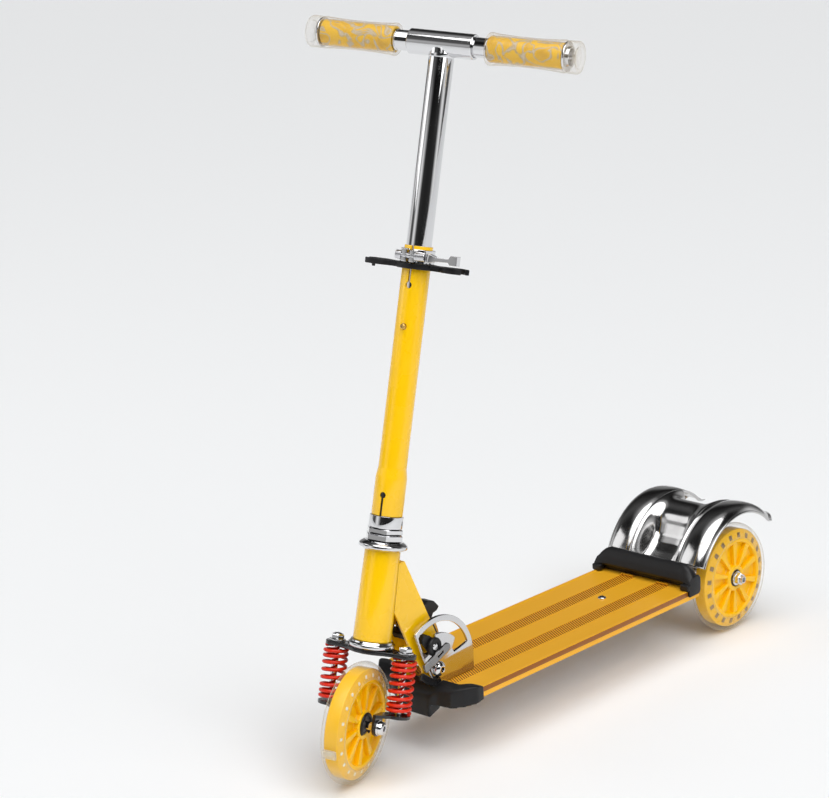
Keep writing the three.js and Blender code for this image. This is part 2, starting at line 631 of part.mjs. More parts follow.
/** The chrome band clamp, split in front between two ears. */
function clampBand() {
  const low = HOLDER_TOP + GAP;
  const ring = tube(16.4, COLUMN_RADIUS + GAP, low, CLAMP_TOP);
  const ears = block([-6.5, -23, low + 1], [6.5, -14.5, CLAMP_TOP - 1]);
  const split = block([-1.6, -30, low - 1], [1.6, -5, CLAMP_TOP + 1]);
  const skewerHole = crossRod(CLAMP_PIN_RADIUS + GAP, -10, 10, CLAMP_PIN_Y, CLAMP_PIN_Z);
  const room = prism(ROUND_SIDES, COLUMN_RADIUS + GAP, low - 1, CLAMP_TOP + 1);
  return cut(join([ring, ears]), [split, skewerHole, room]);
}

/** The clamp's skewer with its round nut on -X. */
function clampSkewer() {
  const shank = prism(SMALL_SIDES, CLAMP_PIN_RADIUS, -11, CLAMP_LEVER_X - 4.8);
  const nut = prism(SMALL_SIDES, 4.4, -12.5, -6.5 - GAP);
  const saddle = prism(SMALL_SIDES, 4.2, 6.5 + GAP, CLAMP_LEVER_X - 4.8);
  return moved(turnedToX(join([shank, nut, saddle])), 0, CLAMP_PIN_Y, CLAMP_PIN_Z);
}

/** The clamp's lever, standing out along +X. */
function clampLever() {
  const side = outline([
    [17, -4], [CLAMP_LEVER_X, -4], [30, -2.2], [42, -1.6], [44, -4], [51, -4], [51, 5], [44, 5], [42, 1.6],
    [30, 1.6], [CLAMP_LEVER_X, 4], [17, 4],
  ]);
  const plan = join([
    prism(16, 4.5, -10, 10),
    block([0, -4.2, -10], [40, 4.2, 10]),
  ]);
  const shape = along(side, -6, 6).intersect(moved(plan, CLAMP_LEVER_X, 0, 0));
  return moved(shape, 0, CLAMP_PIN_Y, CLAMP_PIN_Z);
}

/** The black plate that holds the two grips when they hang down: a hook on each side. */
function gripHolder() {
  const hub = prism(ROUND_SIDES, 19.5, HOLDER_BOTTOM, HOLDER_TOP);
  const makeHook = () => {
    const ring = moved(prism(20, HOOK_OUTER, HOLDER_BOTTOM, HOLDER_TOP), HOOK_X, 0, 0);
    const arm = block([12, -7, HOLDER_BOTTOM], [30, 7, HOLDER_TOP]);
    const hollow = moved(prism(20, HOOK_INNER, HOLDER_BOTTOM - 1, HOLDER_TOP + 1), HOOK_X, 0, 0);
    const mouth = block([HOOK_X, -8.5, HOLDER_BOTTOM - 1], [HOOK_X + 20, 4, HOLDER_TOP + 1]);
    return cut(join([ring, arm]), [hollow, mouth]);
  };
  const room = prism(ROUND_SIDES, COLUMN_RADIUS + GAP, HOLDER_BOTTOM - 1, HOLDER_TOP + 1);
  return cut(join([hub, makeHook(), mirrored(makeHook())]), [room]);
}

function addColumn() {
  place(steeredFrame, 'lock_nut', steererNut(19, UPPER_CUP_TOP + GAP, LOCK_NUT_TOP), STEEL);
  place(steeredFrame, 'top_nut', steererNut(18.5, LOCK_NUT_TOP + GAP, TOP_NUT_TOP), STEEL);
  place(steeredFrame, 'column_collar',
    tube(16.2, STEERER_RADIUS + GAP, TOP_NUT_TOP + GAP, COLLAR_TOP), CHROME);
  place(steeredFrame, 'column_tube', columnTube(), YELLOW_PAINT);
  place(steeredFrame, 'height_button', heightButton(), BRASS);
  place(steeredFrame, 'clamp_band', clampBand(), CHROME);
  place(steeredFrame, 'clamp_skewer', clampSkewer(), STEEL);
  place(steeredFrame, 'clamp_lever', clampLever(), CHROME);
  place(steeredFrame, 'grip_holder', gripHolder(), BLACK_PLASTIC);
}

// ---------------------------------------------------------------- handlebar
/** The chrome T: the sliding stem and the sleeve that takes both grip tubes. */
function stemAndSleeve() {
  const post = prism(ROUND_SIDES, STEM_RADIUS, STEM_BOTTOM, BAR_HEIGHT);
  const sleeve = moved(turnedToX(prism(ROUND_SIDES, STEM_RADIUS, -SLEEVE_HALF, SLEEVE_HALF)), 0, 0, BAR_HEIGHT);
  const sleeveBore = moved(turnedToX(prism(20, GRIP_TUBE_RADIUS + GAP, -50, 50)), 0, 0, BAR_HEIGHT);
  const postBore = prism(16, STEM_BORE, STEM_BOTTOM - 1, BAR_HEIGHT - STEM_RADIUS - 2);
  return cut(join([post, sleeve]), [sleeveBore, postBore]);
}

/** The parts of one grip, made about X on the +X side. */
const gripParts = {
  grip_tube: {
    shape: () => turned([
      [8, 3], [GRIP_TUBE_RADIUS, 3], [GRIP_TUBE_RADIUS, GRIP_END + GAP], [GRIP_FLANGE - 1, GRIP_END + GAP],
      [GRIP_FLANGE - 1, GRIP_END + 2], [GRIP_TUBE_RADIUS, GRIP_END + 2], [GRIP_TUBE_RADIUS, GRIP_END + 5],
      [8, GRIP_END + 5], [8, 3],
    ], 20),
    look: CHROME,
  },
  grip_insert: {
    shape: () => tube(12.4, GRIP_TUBE_RADIUS + GAP, GRIP_START + 1, GRIP_END - 1, 20), look: YELLOW_PLASTIC,
  },
  grip_sleeve: {
    shape: () => turned([
      [12.7, GRIP_START], [GRIP_FLANGE, GRIP_START], [GRIP_FLANGE, GRIP_START + 2.5],
      [GRIP_WAIST, GRIP_START + 9], [GRIP_WAIST, GRIP_END - 12], [GRIP_FLANGE - 0.3, GRIP_END - 4],
      [GRIP_FLANGE - 0.3, GRIP_END], [12.7, GRIP_END], [12.7, GRIP_START],
    ], 20),
    look: CLEAR_PLASTIC,
  },
  grip_cap: {
    shape: () => turned([
      [GRIP_TUBE_RADIUS + GAP, GRIP_END + 2 + GAP], [GRIP_FLANGE - 0.3, GRIP_END + 2 + GAP],
      [GRIP_FLANGE, BAR_HALF - 3], [GRIP_FLANGE - 3, BAR_HALF], [0, BAR_HALF],
      [0, GRIP_END + 5 + GAP], [GRIP_TUBE_RADIUS + GAP, GRIP_END + 5 + GAP],
      [GRIP_TUBE_RADIUS + GAP, GRIP_END + 2 + GAP],
    ], 20),
    look: CLEAR_PLASTIC,
  },
};

function addHandlebar() {
  place(steeredFrame, 'stem', stemAndSleeve(), CHROME);
  for (const [side, flip] of [['left', false], ['right', true]]) {
    for (const [part, { shape, look }] of Object.entries(gripParts)) {
      const made = turnedToX(shape());
      place(steeredFrame, `${side}_${part}`, moved(flip ? mirrored(made) : made, 0, 0, BAR_HEIGHT), look);
    }
  }
}

// ---------------------------------------------------------------- deck
/** The gold deck extrusion: a flat skin with raised edges, two raised strips and turned-down sides. */
function deckPlate() {
  const low = DECK_TOP - DECK_SKIN;
  const half = DECK_HALF;
  const section = outline([
    [-half, 61], [-half + 2.2, 61], [-half + 2.2, low], [half - 2.2, low], [half - 2.2, 61], [half, 61],
    [half, DECK_TOP + 0.6], [half - 3, DECK_TOP + 0.6], [half - 4, DECK_TOP], [-half + 4, DECK_TOP],
    [-half + 3, DECK_TOP + 0.6], [-half, DECK_TOP + 0.6],
  ]);
  const hole = prism(SMALL_SIDES, DECK_SCREW_RADIUS + GAP, low - 1, DECK_TOP + 1);
  const recess = prism(SMALL_SIDES, SCREW_HEAD_RADIUS + GAP, DECK_TOP - SCREW_RECESS, DECK_TOP + 1);
  const screwHole = moved(join([hole, recess]), 0, DECK_SCREW_Y, 0);
  const strips = GRIP_STRIPS.map(([left, right]) => block(
    [left, GRIP_STRIP_FRONT, DECK_TOP - 1],
    [right, GRIP_STRIP_REAR, DECK_TOP + GRIP_STRIP_HEIGHT],
  ));
  return cut(join([along(section, DECK_FRONT, DECK_REAR), ...strips]), [screwHole, frontCapRoom()]);
}

/** The silver channel under the deck that carries the rear axle and the brake pin. */
function deckFrame() {
  const wall = 2.5;
  const front = DECK_FRONT + 1;
  const top = DECK_TOP - DECK_SKIN - GAP;
  const earRadius = 7;
  const walls = [-FRAME_HALF, FRAME_HALF - wall].map((x) => join([
    block([x, front, FRAME_BOTTOM], [x + wall, WHEELBASE + 17, top]),
    block([x, BRAKE_PIN_Y - earRadius, top - 1], [x + wall, BRAKE_PIN_Y + earRadius, BRAKE_PIN_Z]),
    crossRod(earRadius, x, x + wall, BRAKE_PIN_Y, BRAKE_PIN_Z),
  ]));
  const floor = block([-FRAME_HALF, front, FRAME_BOTTOM], [FRAME_HALF, WHEELBASE - 20, FRAME_BOTTOM + wall]);
  const bridge = block([-FRAME_HALF, front + 270, top - wall], [FRAME_HALF, front + 292, top]);
  return cut(join([...walls, floor, bridge]), [
    crossRod(AXLE_RADIUS + GAP, -40, 40, WHEELBASE, WHEEL_RADIUS),
    crossRod(BRAKE_PIN_RADIUS + GAP, -40, 40, BRAKE_PIN_Y, BRAKE_PIN_Z),
    moved(prism(SMALL_SIDES, DECK_SCREW_RADIUS + GAP, top - 5, top + 1), 0, DECK_SCREW_Y, 0),
  ]);
}

/** The screw that holds the deck skin down, its head seated in a shallow recess. */
function deckScrew() {
  const seat = DECK_TOP - SCREW_RECESS + GAP;
  const head = turned([
    [0, seat], [SCREW_HEAD_RADIUS, seat], [SCREW_HEAD_RADIUS, DECK_TOP + GAP],
    [4, DECK_TOP + 1.6], [0, DECK_TOP + 2.2],
  ], SMALL_SIDES);
  const shank = prism(SMALL_SIDES, DECK_SCREW_RADIUS, DECK_TOP - 9, DECK_TOP + 1);
  return moved(join([head, shank]), 0, DECK_SCREW_Y, 0);
}

/** A closed plan outline from the points of its +X half. */
function bothSides(half) {
  const other = half.slice(1, -1).reverse().map(([x, y]) => [-x, y]);
  return outline([...half, ...other]);
}

/** The front cap: a sloping nose across the deck, swept back at both tips, with a low middle block. */
function frontCap() {
  const nose = across(outline([
    [82, 58], [86, 54.5], [92, 54.5], [120, 61], [120, 73],
    [112, 76], [103, 76.4], [94, 74], [86, 68], [82, 62],
  ]), -65, 65);
  const wings = nose.intersect(standing(bothSides([...CAP_FRONT, ...CAP_BACK]), 40, 90));
  const chin = across(outline([
    [85.5, 41.5], [100, 46.5], [103.7, 52], [103.7, 66], [84, 66], [83, 60],
  ]), -22, 22);
  return cut(join([wings, chin]), [
    block([-FRAME_HALF - GAP, DECK_FRONT, 30], [FRAME_HALF + GAP, 130, 90]),
    crossRod(17, -16.7, 16.7, PIVOT_Y, PIVOT_Z),
    block([-PLATE_OUTER_X - GAP, 88, DECK_TOP], [PLATE_OUTER_X + GAP, 120, 90]),
  ]);
}

/** The room that the front cap needs, with everything ahead of it. */
function frontCapRoom() {
  const back = CAP_BACK.map(([x, y]) => [x, y + GAP]);
  return standing(bothSides([[0, 80], [70, 80], [70, back[0][1]], ...back.slice(1)]), 40, 90);
}

/** The rear cap: an upright moulding across the deck with cheeks over its edges. */
function rearCap() {
  const wall = across(outline([
    [456.5, DECK_TOP + 0.9], [459.5, 92], [463, 97.5], [467, 98], [471.5, 95], [474, 88], [474, DECK_TOP + 0.9],
  ]), -64, 64);
  const cheek = across(outline([
    [455, 66], [472, 66], [474, 70], [474, 80], [458, 80],
  ]), DECK_HALF + GAP, 64);
  return join([wall, cheek, mirrored(cheek)]);
}

function addDeck() {
  place(scooter, 'deck_plate', deckPlate(), GOLD_DECK);
  place(scooter, 'deck_frame', deckFrame(), ALUMINIUM);
  place(scooter, 'deck_screw', deckScrew(), STEEL);
  place(scooter, 'front_cap', frontCap(), BLACK_PLASTIC);
  place(scooter, 'rear_cap', rearCap(), BLACK_PLASTIC);
}

// ---------------------------------------------------------------- rear axle and foot brake
/** The rear axle, with a shoulder beside the frame that each wheel's bearing runs against. */
function rearAxle(shoulderEnd) {
  const shoulder = crossRod(6.5, FRAME_HALF + GAP, shoulderEnd, WHEELBASE, WHEEL_RADIUS);
  return join([crossRod(AXLE_RADIUS, -67, 67, WHEELBASE, WHEEL_RADIUS), shoulder, mirrored(shoulder)]);
}

function addRearWheels() {
  const innerFace = REAR_TRACK / 2 - CORE_WIDTH / 2;
  const outerFace = REAR_TRACK / 2 + CORE_WIDTH / 2;
  place(scooter, 'rear_axle', rearAxle(innerFace - GAP), STEEL);
  for (const [side, sign] of [['left', 1], ['right', -1]]) {
    addWheel(scooter, `${side}_rear`, (sign * REAR_TRACK) / 2, WHEELBASE, WHEEL_RADIUS);
    const nut = crossNut(7, AXLE_RADIUS + GAP, outerFace + GAP, 64, WHEELBASE, WHEEL_RADIUS);
    place(scooter, `${side}_axle_nut`, sign > 0 ? nut : mirrored(nut), CHROME);
  }
}

/** A curved sheet across the scooter: an arc band about a centre in the side view. */
const sheetArc = (centreY, centreZ, radius, from, to, low, high, steps) => across(outline([
  ...sideArc(centreY, centreZ, radius + FENDER_SKIN, from, to, steps),
  ...sideArc(centreY, centreZ, radius, to, from, steps),
]), low, high);

/** The pressed chrome mudguard: two lobes over the wheels and a rolled saddle between. */
function fenderBrake() {
  const lobe = across(outline([
    ...sideArc(WHEELBASE, WHEEL_RADIUS, FENDER_RADIUS + FENDER_SKIN, 156, 50, 14),
    [612, 117.5], [618, 116.5], [618, 114.3], [611, 115],
    ...sideArc(WHEELBASE, WHEEL_RADIUS, FENDER_RADIUS, 50, 156, 14),
  ]), LOBE_INNER_X, LOBE_OUTER_X);
  const wallEdge = LOBE_INNER_X + FENDER_SKIN;
  const wall = cut(across(outline([
    [476, 76], [488, 74], [500, 88], [518, 100], [563, 100], [568, 120],
    ...sideArc(WHEELBASE, WHEEL_RADIUS, FENDER_RADIUS + 1, 75, 155, 12),
  ]), LOBE_INNER_X, wallEdge), [crossRod(BRAKE_PIN_RADIUS + GAP, 0, 60, BRAKE_PIN_Y, BRAKE_PIN_Z)]);
  const saddle = sheetArc(SADDLE_Y, SADDLE_Z, SADDLE_RADIUS - FENDER_SKIN, -10, 200, -wallEdge, wallEdge, 14);
  return join([saddle, lobe, mirrored(lobe), wall, mirrored(wall)]);
}

/** The brake's return spring, wound around the pin. */
function brakeSpring() {
  const coil = tube(6, BRAKE_PIN_RADIUS + GAP, -12, 12, SMALL_SIDES);
  return moved(turnedToX(coil), 0, BRAKE_PIN_Y, BRAKE_PIN_Z);
}

function addBrake() {
  place(scooter, 'fender_brake', fenderBrake(), CHROME);
  place(scooter, 'brake_pin', crossRod(BRAKE_PIN_RADIUS, -34.5, 34.5, BRAKE_PIN_Y, BRAKE_PIN_Z), STEEL);
  place(scooter, 'brake_spring', brakeSpring(), STEEL);
}

// ---------------------------------------------------------------- assembly
addFrontEnd();
addHeadAndFold();
addColumn();
addHandlebar();
addDeck();
addRearWheels();
addBrake();

/** Brings the origin to the middle of the scooter's footprint, on the ground. */
function centreOnGround() {
  scooter.updateMatrixWorld(true);
  const box = new THREE.Box3().setFromObject(scooter, true);
  scooter.position.set(-(box.min.x + box.max.x) / 2, -(box.min.y + box.max.y) / 2, -box.min.z);
  scooter.updateMatrixWorld(true);
}
centreOnGround();

export default scooter;
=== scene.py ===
"""The looks of a child's folding kick scooter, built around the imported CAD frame.

Metres, +Z up. The scooter rolls towards -Y and +X is the rider's left.
Shapes are drawn in millimetres in the scooter's own frames and then placed in the row frame.
"""
import math

import bmesh
import bpy
from mathutils import Matrix, Vector


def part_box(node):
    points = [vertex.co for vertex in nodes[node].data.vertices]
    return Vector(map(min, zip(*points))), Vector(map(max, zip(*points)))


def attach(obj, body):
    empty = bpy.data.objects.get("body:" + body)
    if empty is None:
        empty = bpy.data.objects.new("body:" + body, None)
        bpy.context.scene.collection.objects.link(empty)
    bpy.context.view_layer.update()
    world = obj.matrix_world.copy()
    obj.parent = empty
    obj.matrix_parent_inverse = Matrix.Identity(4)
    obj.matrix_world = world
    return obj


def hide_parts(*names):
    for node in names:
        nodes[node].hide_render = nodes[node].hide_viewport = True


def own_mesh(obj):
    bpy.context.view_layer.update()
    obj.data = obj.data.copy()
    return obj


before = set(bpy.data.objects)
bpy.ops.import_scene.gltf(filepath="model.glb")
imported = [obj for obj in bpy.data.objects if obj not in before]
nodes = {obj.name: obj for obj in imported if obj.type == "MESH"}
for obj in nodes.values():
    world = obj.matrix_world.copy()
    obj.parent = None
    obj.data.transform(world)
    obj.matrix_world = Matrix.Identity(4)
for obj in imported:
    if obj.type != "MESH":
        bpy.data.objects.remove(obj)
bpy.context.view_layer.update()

# ---- driving dimensions, millimetres
MM = 0.001
RAKE = math.radians(13.3)
REST_STEER = math.radians(16.35)
STEER_AXIS_Y = 13.9
AXLE_HEIGHT = 60.0
AXLE_AHEAD = 13.5
AXLE_DROP = 3.2
WHEELBASE = 548.9
REAR_TRACK = 94.0
DECK_TOP = 72.3
DECK_HALF = 61.6
DECK_FRONT = 104.0
DECK_REAR = 474.0
PIVOT = (98.0, 89.0)
ROUND = 96  # flats around a visible round piece
GAP = 0.3

# ---- the frames of the object


def middle(node):
    low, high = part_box(node)
    return (low + high) / 2


FIT = Matrix.Translation((0, middle("rear_axle").y - WHEELBASE * MM, 0)) @ Matrix.Scale(MM, 4)
STEER = (FIT @ Matrix.Translation((0, STEER_AXIS_Y, AXLE_HEIGHT))
         @ Matrix.Rotation(-RAKE, 4, "X") @ Matrix.Rotation(REST_STEER, 4, "Z"))
HEAD = FIT @ Matrix.Translation((0, STEER_AXIS_Y, AXLE_HEIGHT)) @ Matrix.Rotation(-RAKE, 4, "X")
TO_X = Matrix.Rotation(math.radians(90), 4, "Y")  # a turned piece about Z becomes one about X
TO_FRONT = Matrix.Rotation(math.radians(90), 4, "X")  # Z becomes -Y
SIDEWAYS = Matrix(((0, 0, 1, 0), (1, 0, 0, 0), (0, 1, 0, 0), (0, 0, 0, 1)))  # (y, z) outline along X


def at(x, y, z):
    return Matrix.Translation((x, y, z))


def added(name, data):
    """A new object in the scene that holds the data."""
    thing = bpy.data.objects.new(name, data)
    bpy.context.scene.collection.objects.link(thing)
    return thing


# ---- camera
CAMERA_AZIMUTH = math.radians(42.12)
CAMERA_PITCH = math.radians(15.38)
CAMERA_ROLL = math.radians(-2.09)
CAMERA_DISTANCE = 2523.24
CAMERA_TARGET = Vector((0, 103.81, 354.2))
CAMERA_LENS = 115.69
CAMERA_FAR = 100  # metres


def add_camera():
    a, p, r = CAMERA_AZIMUTH, CAMERA_PITCH, CAMERA_ROLL
    back = Vector((math.sin(a) * math.cos(p), -math.cos(a) * math.cos(p), math.sin(p)))
    level = Vector((math.cos(a), math.sin(a), 0))
    up = back.cross(level)
    right = math.cos(r) * level + math.sin(r) * up
    top = -math.sin(r) * level + math.cos(r) * up
    turn = Matrix((right, top, back)).transposed().to_4x4()
    data = bpy.data.cameras.new("camera")
    data.lens = CAMERA_LENS
    data.clip_end = CAMERA_FAR
    camera = added("camera", data)
    camera.matrix_world = Matrix.Translation(FIT @ (CAMERA_TARGET + CAMERA_DISTANCE * back)) @ turn
    bpy.context.scene.camera = camera


add_camera()

# ---- materials


def new_node(tree, kind, **values):
    """A shader node with the given input values."""
    node = tree.nodes.new(f"ShaderNode{kind}")
    for name, value in values.items():
        node.inputs[name.replace("_", " ")].default_value = value
    return node


def new_ramp(tree, value, stops):
    """A colour that follows a value through the stops."""
    node = new_node(tree, "ValToRGB")
    elements = node.color_ramp.elements
    while len(elements) < len(stops):
        elements.new(0.5)
    for element, (position, color) in zip(elements, stops):
        element.position = position
        element.color = (*color, 1)
    tree.links.new(value, node.inputs["Fac"])
    return node.outputs["Color"]


class Look:
    """A small builder around a Principled material."""

    def __init__(self, name, color, roughness, metallic=0.0):
        self.material = bpy.data.materials.new(name)
        self.material.use_nodes = True
        self.tree = self.material.node_tree
        self.shader = self.tree.nodes["Principled BSDF"]
        self.place = new_node(self.tree, "TexCoord").outputs["Object"]
        self.height = None
        self.set(Base_Color=(*color, 1), Roughness=roughness, Metallic=metallic)

    def set(self, **values):
        for name, value in values.items():
            self.shader.inputs[name.replace("_", " ")].default_value = value
        return self

    def stretched(self, scale):
        mapping = new_node(self.tree, "Mapping", Scale=scale)
        self.tree.links.new(self.place, mapping.inputs["Vector"])
        return mapping.outputs["Vector"]

    def noise(self, scale, detail=3.0, stretch=None, distortion=0.0):
        node = new_node(self.tree, "TexNoise", Scale=scale, Detail=detail, Distortion=distortion)
        self.tree.links.new(self.stretched(stretch) if stretch else self.place, node.inputs["Vector"])
        return node.outputs["Fac"]

    def ramp(self, value, stops):
        return new_ramp(self.tree, value, stops)

    def spread(self, value, low, high, source=(0.3, 0.7)):
        node = new_node(self.tree, "MapRange", From_Min=source[0], From_Max=source[1],
                        To_Min=low, To_Max=high)
        self.tree.links.new(value, node.inputs["Value"])
        return node.outputs["Result"]

    def link(self, output, name):
        self.tree.links.new(output, self.shader.inputs[name])
        return self

    def bump(self, height, strength, distance):
        node = new_node(self.tree, "Bump", Strength=strength, Distance=distance)
        self.tree.links.new(height, node.inputs["Height"])
        if self.height is not None:
            self.tree.links.new(self.height, node.inputs["Normal"])
        self.height = node.outputs["Normal"]
        self.tree.links.new(self.height, self.shader.inputs["Normal"])
        return self


def painted(name, color, shade):
    """Gloss enamel: slight depth of colour and a faint orange peel."""
    look = Look(name, color, 0.25)
    look.link(look.ramp(look.noise(9), [(0.3, shade), (0.7, color)]), "Base Color")
    look.link(look.spread(look.noise(40), 0.2, 0.32), "Roughness")
    look.bump(look.noise(700, 1.0), 0.1, 0.0003)
    return look.set(Coat_Weight=0.45, Coat_Roughness=0.05, Specular_IOR_Level=0.4)


def polished(name, color=(0.7, 0.7, 0.71), low=0.03, high=0.1):
    """Polished plating: faint smears in the gloss and the softest waviness."""
    look = Look(name, color, low, 1.0)
    look.link(look.spread(look.noise(28, 4.0), low, high), "Roughness")
    look.bump(look.noise(60, 1.0), 0.05, 0.0006)
    return look


def satin_metal(name, color, roughness):
    look = Look(name, color, roughness, 1.0)
    look.link(look.spread(look.noise(120, 4.0), roughness - 0.08, roughness + 0.1), "Roughness")
    look.bump(look.noise(900, 2.0), 0.15, 0.0002)
    return look


def anodised_gold():
    """Gold anodised extrusion: fine lines along the deck."""
    look = Look("gold_deck", (0.95, 0.47, 0.02), 0.4, 0.25)
    lines = look.noise(1400, 1.0, (1, 0.01, 1))
    patches = look.noise(5, 2.0)
    look.link(look.ramp(patches, [(0.3, (0.94, 0.46, 0.018)), (0.7, (0.98, 0.49, 0.022))]), "Base Color")
    look.link(look.spread(lines, 0.38, 0.42), "Roughness")
    return look.bump(look.noise(700, 1.0), 0.04, 0.0001)


def knurled_gold_painted_shade():
    # Dark brown gold: painted shade for the ribs' shaded walls and the deck's side bands; the knurl bump is
    # real.
    look = Look("gold_painted_shade", (0.3, 0.09, 0.0), 0.5, 0.1)
    look.link(look.spread(look.noise(200), 0.34, 0.5), "Roughness")
    return look.bump(look.noise(1200, 2.0), 0.2, 0.0002)


def moulded(name, color, roughness, grain=900):
    look = Look(name, color, roughness)
    look.link(look.spread(look.noise(60), roughness - 0.08, roughness + 0.08), "Roughness")
    look.bump(look.noise(grain, 2.0), 0.2, 0.0002)
    return look.set(Specular_IOR_Level=0.35)


def clear_cast(name, tint, roughness, face_on, edge_on):
    """Clear soft plastic: seen through face on, milky towards its edges, with faint flow marks."""
    look = Look(name, tint, roughness)
    look.bump(look.noise(90, 2.0), 0.12, 0.0006)
    weight = new_node(look.tree, "LayerWeight", Blend=0.32)
    look.link(look.spread(weight.outputs["Facing"], face_on, edge_on, (0.3, 0.95)), "Alpha")
    return look.set(IOR=1.47, Specular_IOR_Level=0.6, Coat_Weight=0.3, Coat_Roughness=0.03)


def marbled_insert():
    """The yellow sleeve under the clear grip, with loose pale swirls."""
    look = Look("grip_insert", (0.95, 0.6, 0.03), 0.4)
    swirl = look.noise(38, 1.0, distortion=2.2)
    stops = [(0.42, (0.9, 0.53, 0.0)), (0.455, (0.5, 0.37, 0.2)), (0.485, (0.66, 0.56, 0.42)),
             (0.515, (0.5, 0.38, 0.22)), (0.55, (0.88, 0.51, 0.0)), (0.7, (0.7, 0.38, 0.0))]
    look.link(look.ramp(swirl, stops), "Base Color")
    return look.bump(swirl, 0.2, 0.0004)


YELLOW = painted("yellow_paint", (1.0, 0.59, 0.0), (0.97, 0.56, 0.0))
CHROME = polished("chrome")
PRESSED_CHROME = polished("pressed_chrome", (0.56, 0.555, 0.555), 0.09, 0.2)
PLATE_STEEL = polished("plate_steel", (0.64, 0.64, 0.65), 0.12, 0.17)
LEVER_STEEL = satin_metal("lever_steel", (0.26, 0.26, 0.265), 0.22)
DARK_STEEL = satin_metal("dark_steel", (0.1, 0.09, 0.085), 0.34)
STEEL = satin_metal("steel", (0.62, 0.62, 0.64), 0.28)
ALUMINIUM = satin_metal("aluminium", (0.72, 0.73, 0.74), 0.36)
BRASS = satin_metal("brass", (0.72, 0.46, 0.14), 0.25)
GOLD = anodised_gold()
GOLD_PAINTED_SHADE = knurled_gold_painted_shade()
BLACK_PAINT = painted("black_paint", (0.007, 0.007, 0.008), (0.011, 0.011, 0.012))
BLACK = moulded("black_plastic", (0.007, 0.007, 0.008), 0.45)
RED = painted("red_spring", (0.74, 0.026, 0.006), (0.62, 0.018, 0.005))
RED.set(Coat_Weight=0.12, Specular_IOR_Level=0.3)
CORE = moulded("yellow_core", (0.98, 0.55, 0.0), 0.32, 500).set(Coat_Weight=0.2)
CLEAR = clear_cast("clear_tyre", (0.7, 0.6, 0.42), 0.1, 0.04, 0.72)
CLEAR_GRIP = clear_cast("clear_grip", (0.66, 0.56, 0.4), 0.14, 0.07, 0.85)
CLEAR_BLOCK = clear_cast("clear_block", (0.86, 0.82, 0.7), 0.1, 0.35, 0.85)
INSERT = marbled_insert()
BROWN_FOIL = satin_metal("brown_foil", (0.36, 0.25, 0.14), 0.34)
PALE_FOIL = moulded("pale_foil", (0.85, 0.8, 0.64), 0.3)

# ---- mesh helpers
WELD = 1e-6  # points nearer than this become one
ON_AXIS = 1e-5  # a radius smaller than this is a point


def mesh_of(build, name):
    """The mesh that a bmesh has built."""
    mesh = bpy.data.meshes.new(name)
    build.to_mesh(mesh)
    build.free()
    return mesh


def faced(mesh, weld=0.0):
    """The same mesh with its faces turned outward."""
    build = bmesh.new()
    build.from_mesh(mesh)
    if weld:
        bmesh.ops.remove_doubles(build, verts=build.verts, dist=weld)
    bmesh.ops.recalc_face_normals(build, faces=build.faces)
    build.to_mesh(mesh)
    build.free()
    return mesh


def bridge(build, rings):
    """Faces between each closed ring of points and the next."""
    for first, second in zip(rings, rings[1:]):
        for k in range(len(first)):
            n = (k + 1) % len(first)
            build.faces.new((first[k], first[n], second[n], second[k]))


def rounded(points, radius, steps=4, closed=True):
    """The same outline with its corners rounded off."""
    result = []
    count = len(points)
    for i, here in enumerate(points):
        if not closed and i in (0, count - 1):
            result.append(tuple(here))
            continue
        corner = Vector(here)
        before = Vector(points[i - 1]) - corner
        after = Vector(points[(i + 1) % count]) - corner
        reach = min(radius, before.length * 0.45, after.length * 0.45)
        if reach < 1e-4 or abs(before.angle(after) - math.pi) < 0.05:
            result.append(tuple(here))
            continue
        start = corner + before.normalized() * reach
        end = corner + after.normalized() * reach
        for k in range(steps + 1):
            t = k / steps
            result.append(tuple(start.lerp(corner, t).lerp(corner.lerp(end, t), t)))
    return result


def polar(radius, degrees):
    """A point on a circle, its angle measured from the first axis towards the second."""
    return radius * math.cos(math.radians(degrees)), radius * math.sin(math.radians(degrees))


def arc(centre, radius, start, end, steps):
    """Points on an arc in a plane, angles in degrees from the first axis towards the second."""
    turned = [polar(radius, start + (end - start) * k / steps) for k in range(steps + 1)]
    return [(centre[0] + x, centre[1] + y) for x, y in turned]


def about_pivot(radius, lean):
    """A point about the folding pivot, its angle measured from straight up and leaning back."""
    turn = math.radians(lean)
    return (PIVOT[0] + radius * math.sin(turn), PIVOT[1] + radius * math.cos(turn))


def pivot_arc(radius, start, end, steps):
    return [about_pivot(radius, start + (end - start) * k / steps) for k in range(steps + 1)]


def smooth(mesh, angle=32):
    mesh.polygons.foreach_set("use_smooth", [True] * len(mesh.polygons))
    mesh.set_sharp_from_angle(angle=math.radians(angle))


def piece(name, mesh, look, body, replaces=(), matrix=None, angle=32):
    """Places a finished mesh, drawn in millimetres, as a piece of the object."""
    if matrix is not None:
        mesh.transform(matrix)
    faced(mesh, WELD)
    smooth(mesh, angle)
    mesh.materials.clear()
    mesh.materials.append(look.material)
    thing = added(name, mesh)
    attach(thing, body)
    if replaces:
        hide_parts(*replaces)
    return thing


def stand_in(node, mesh, look, body, matrix, angle=32):
    """Places a finished mesh in the stead of a CAD node."""
    return piece(f"{node}_look", mesh, look, body, [node], matrix, angle)


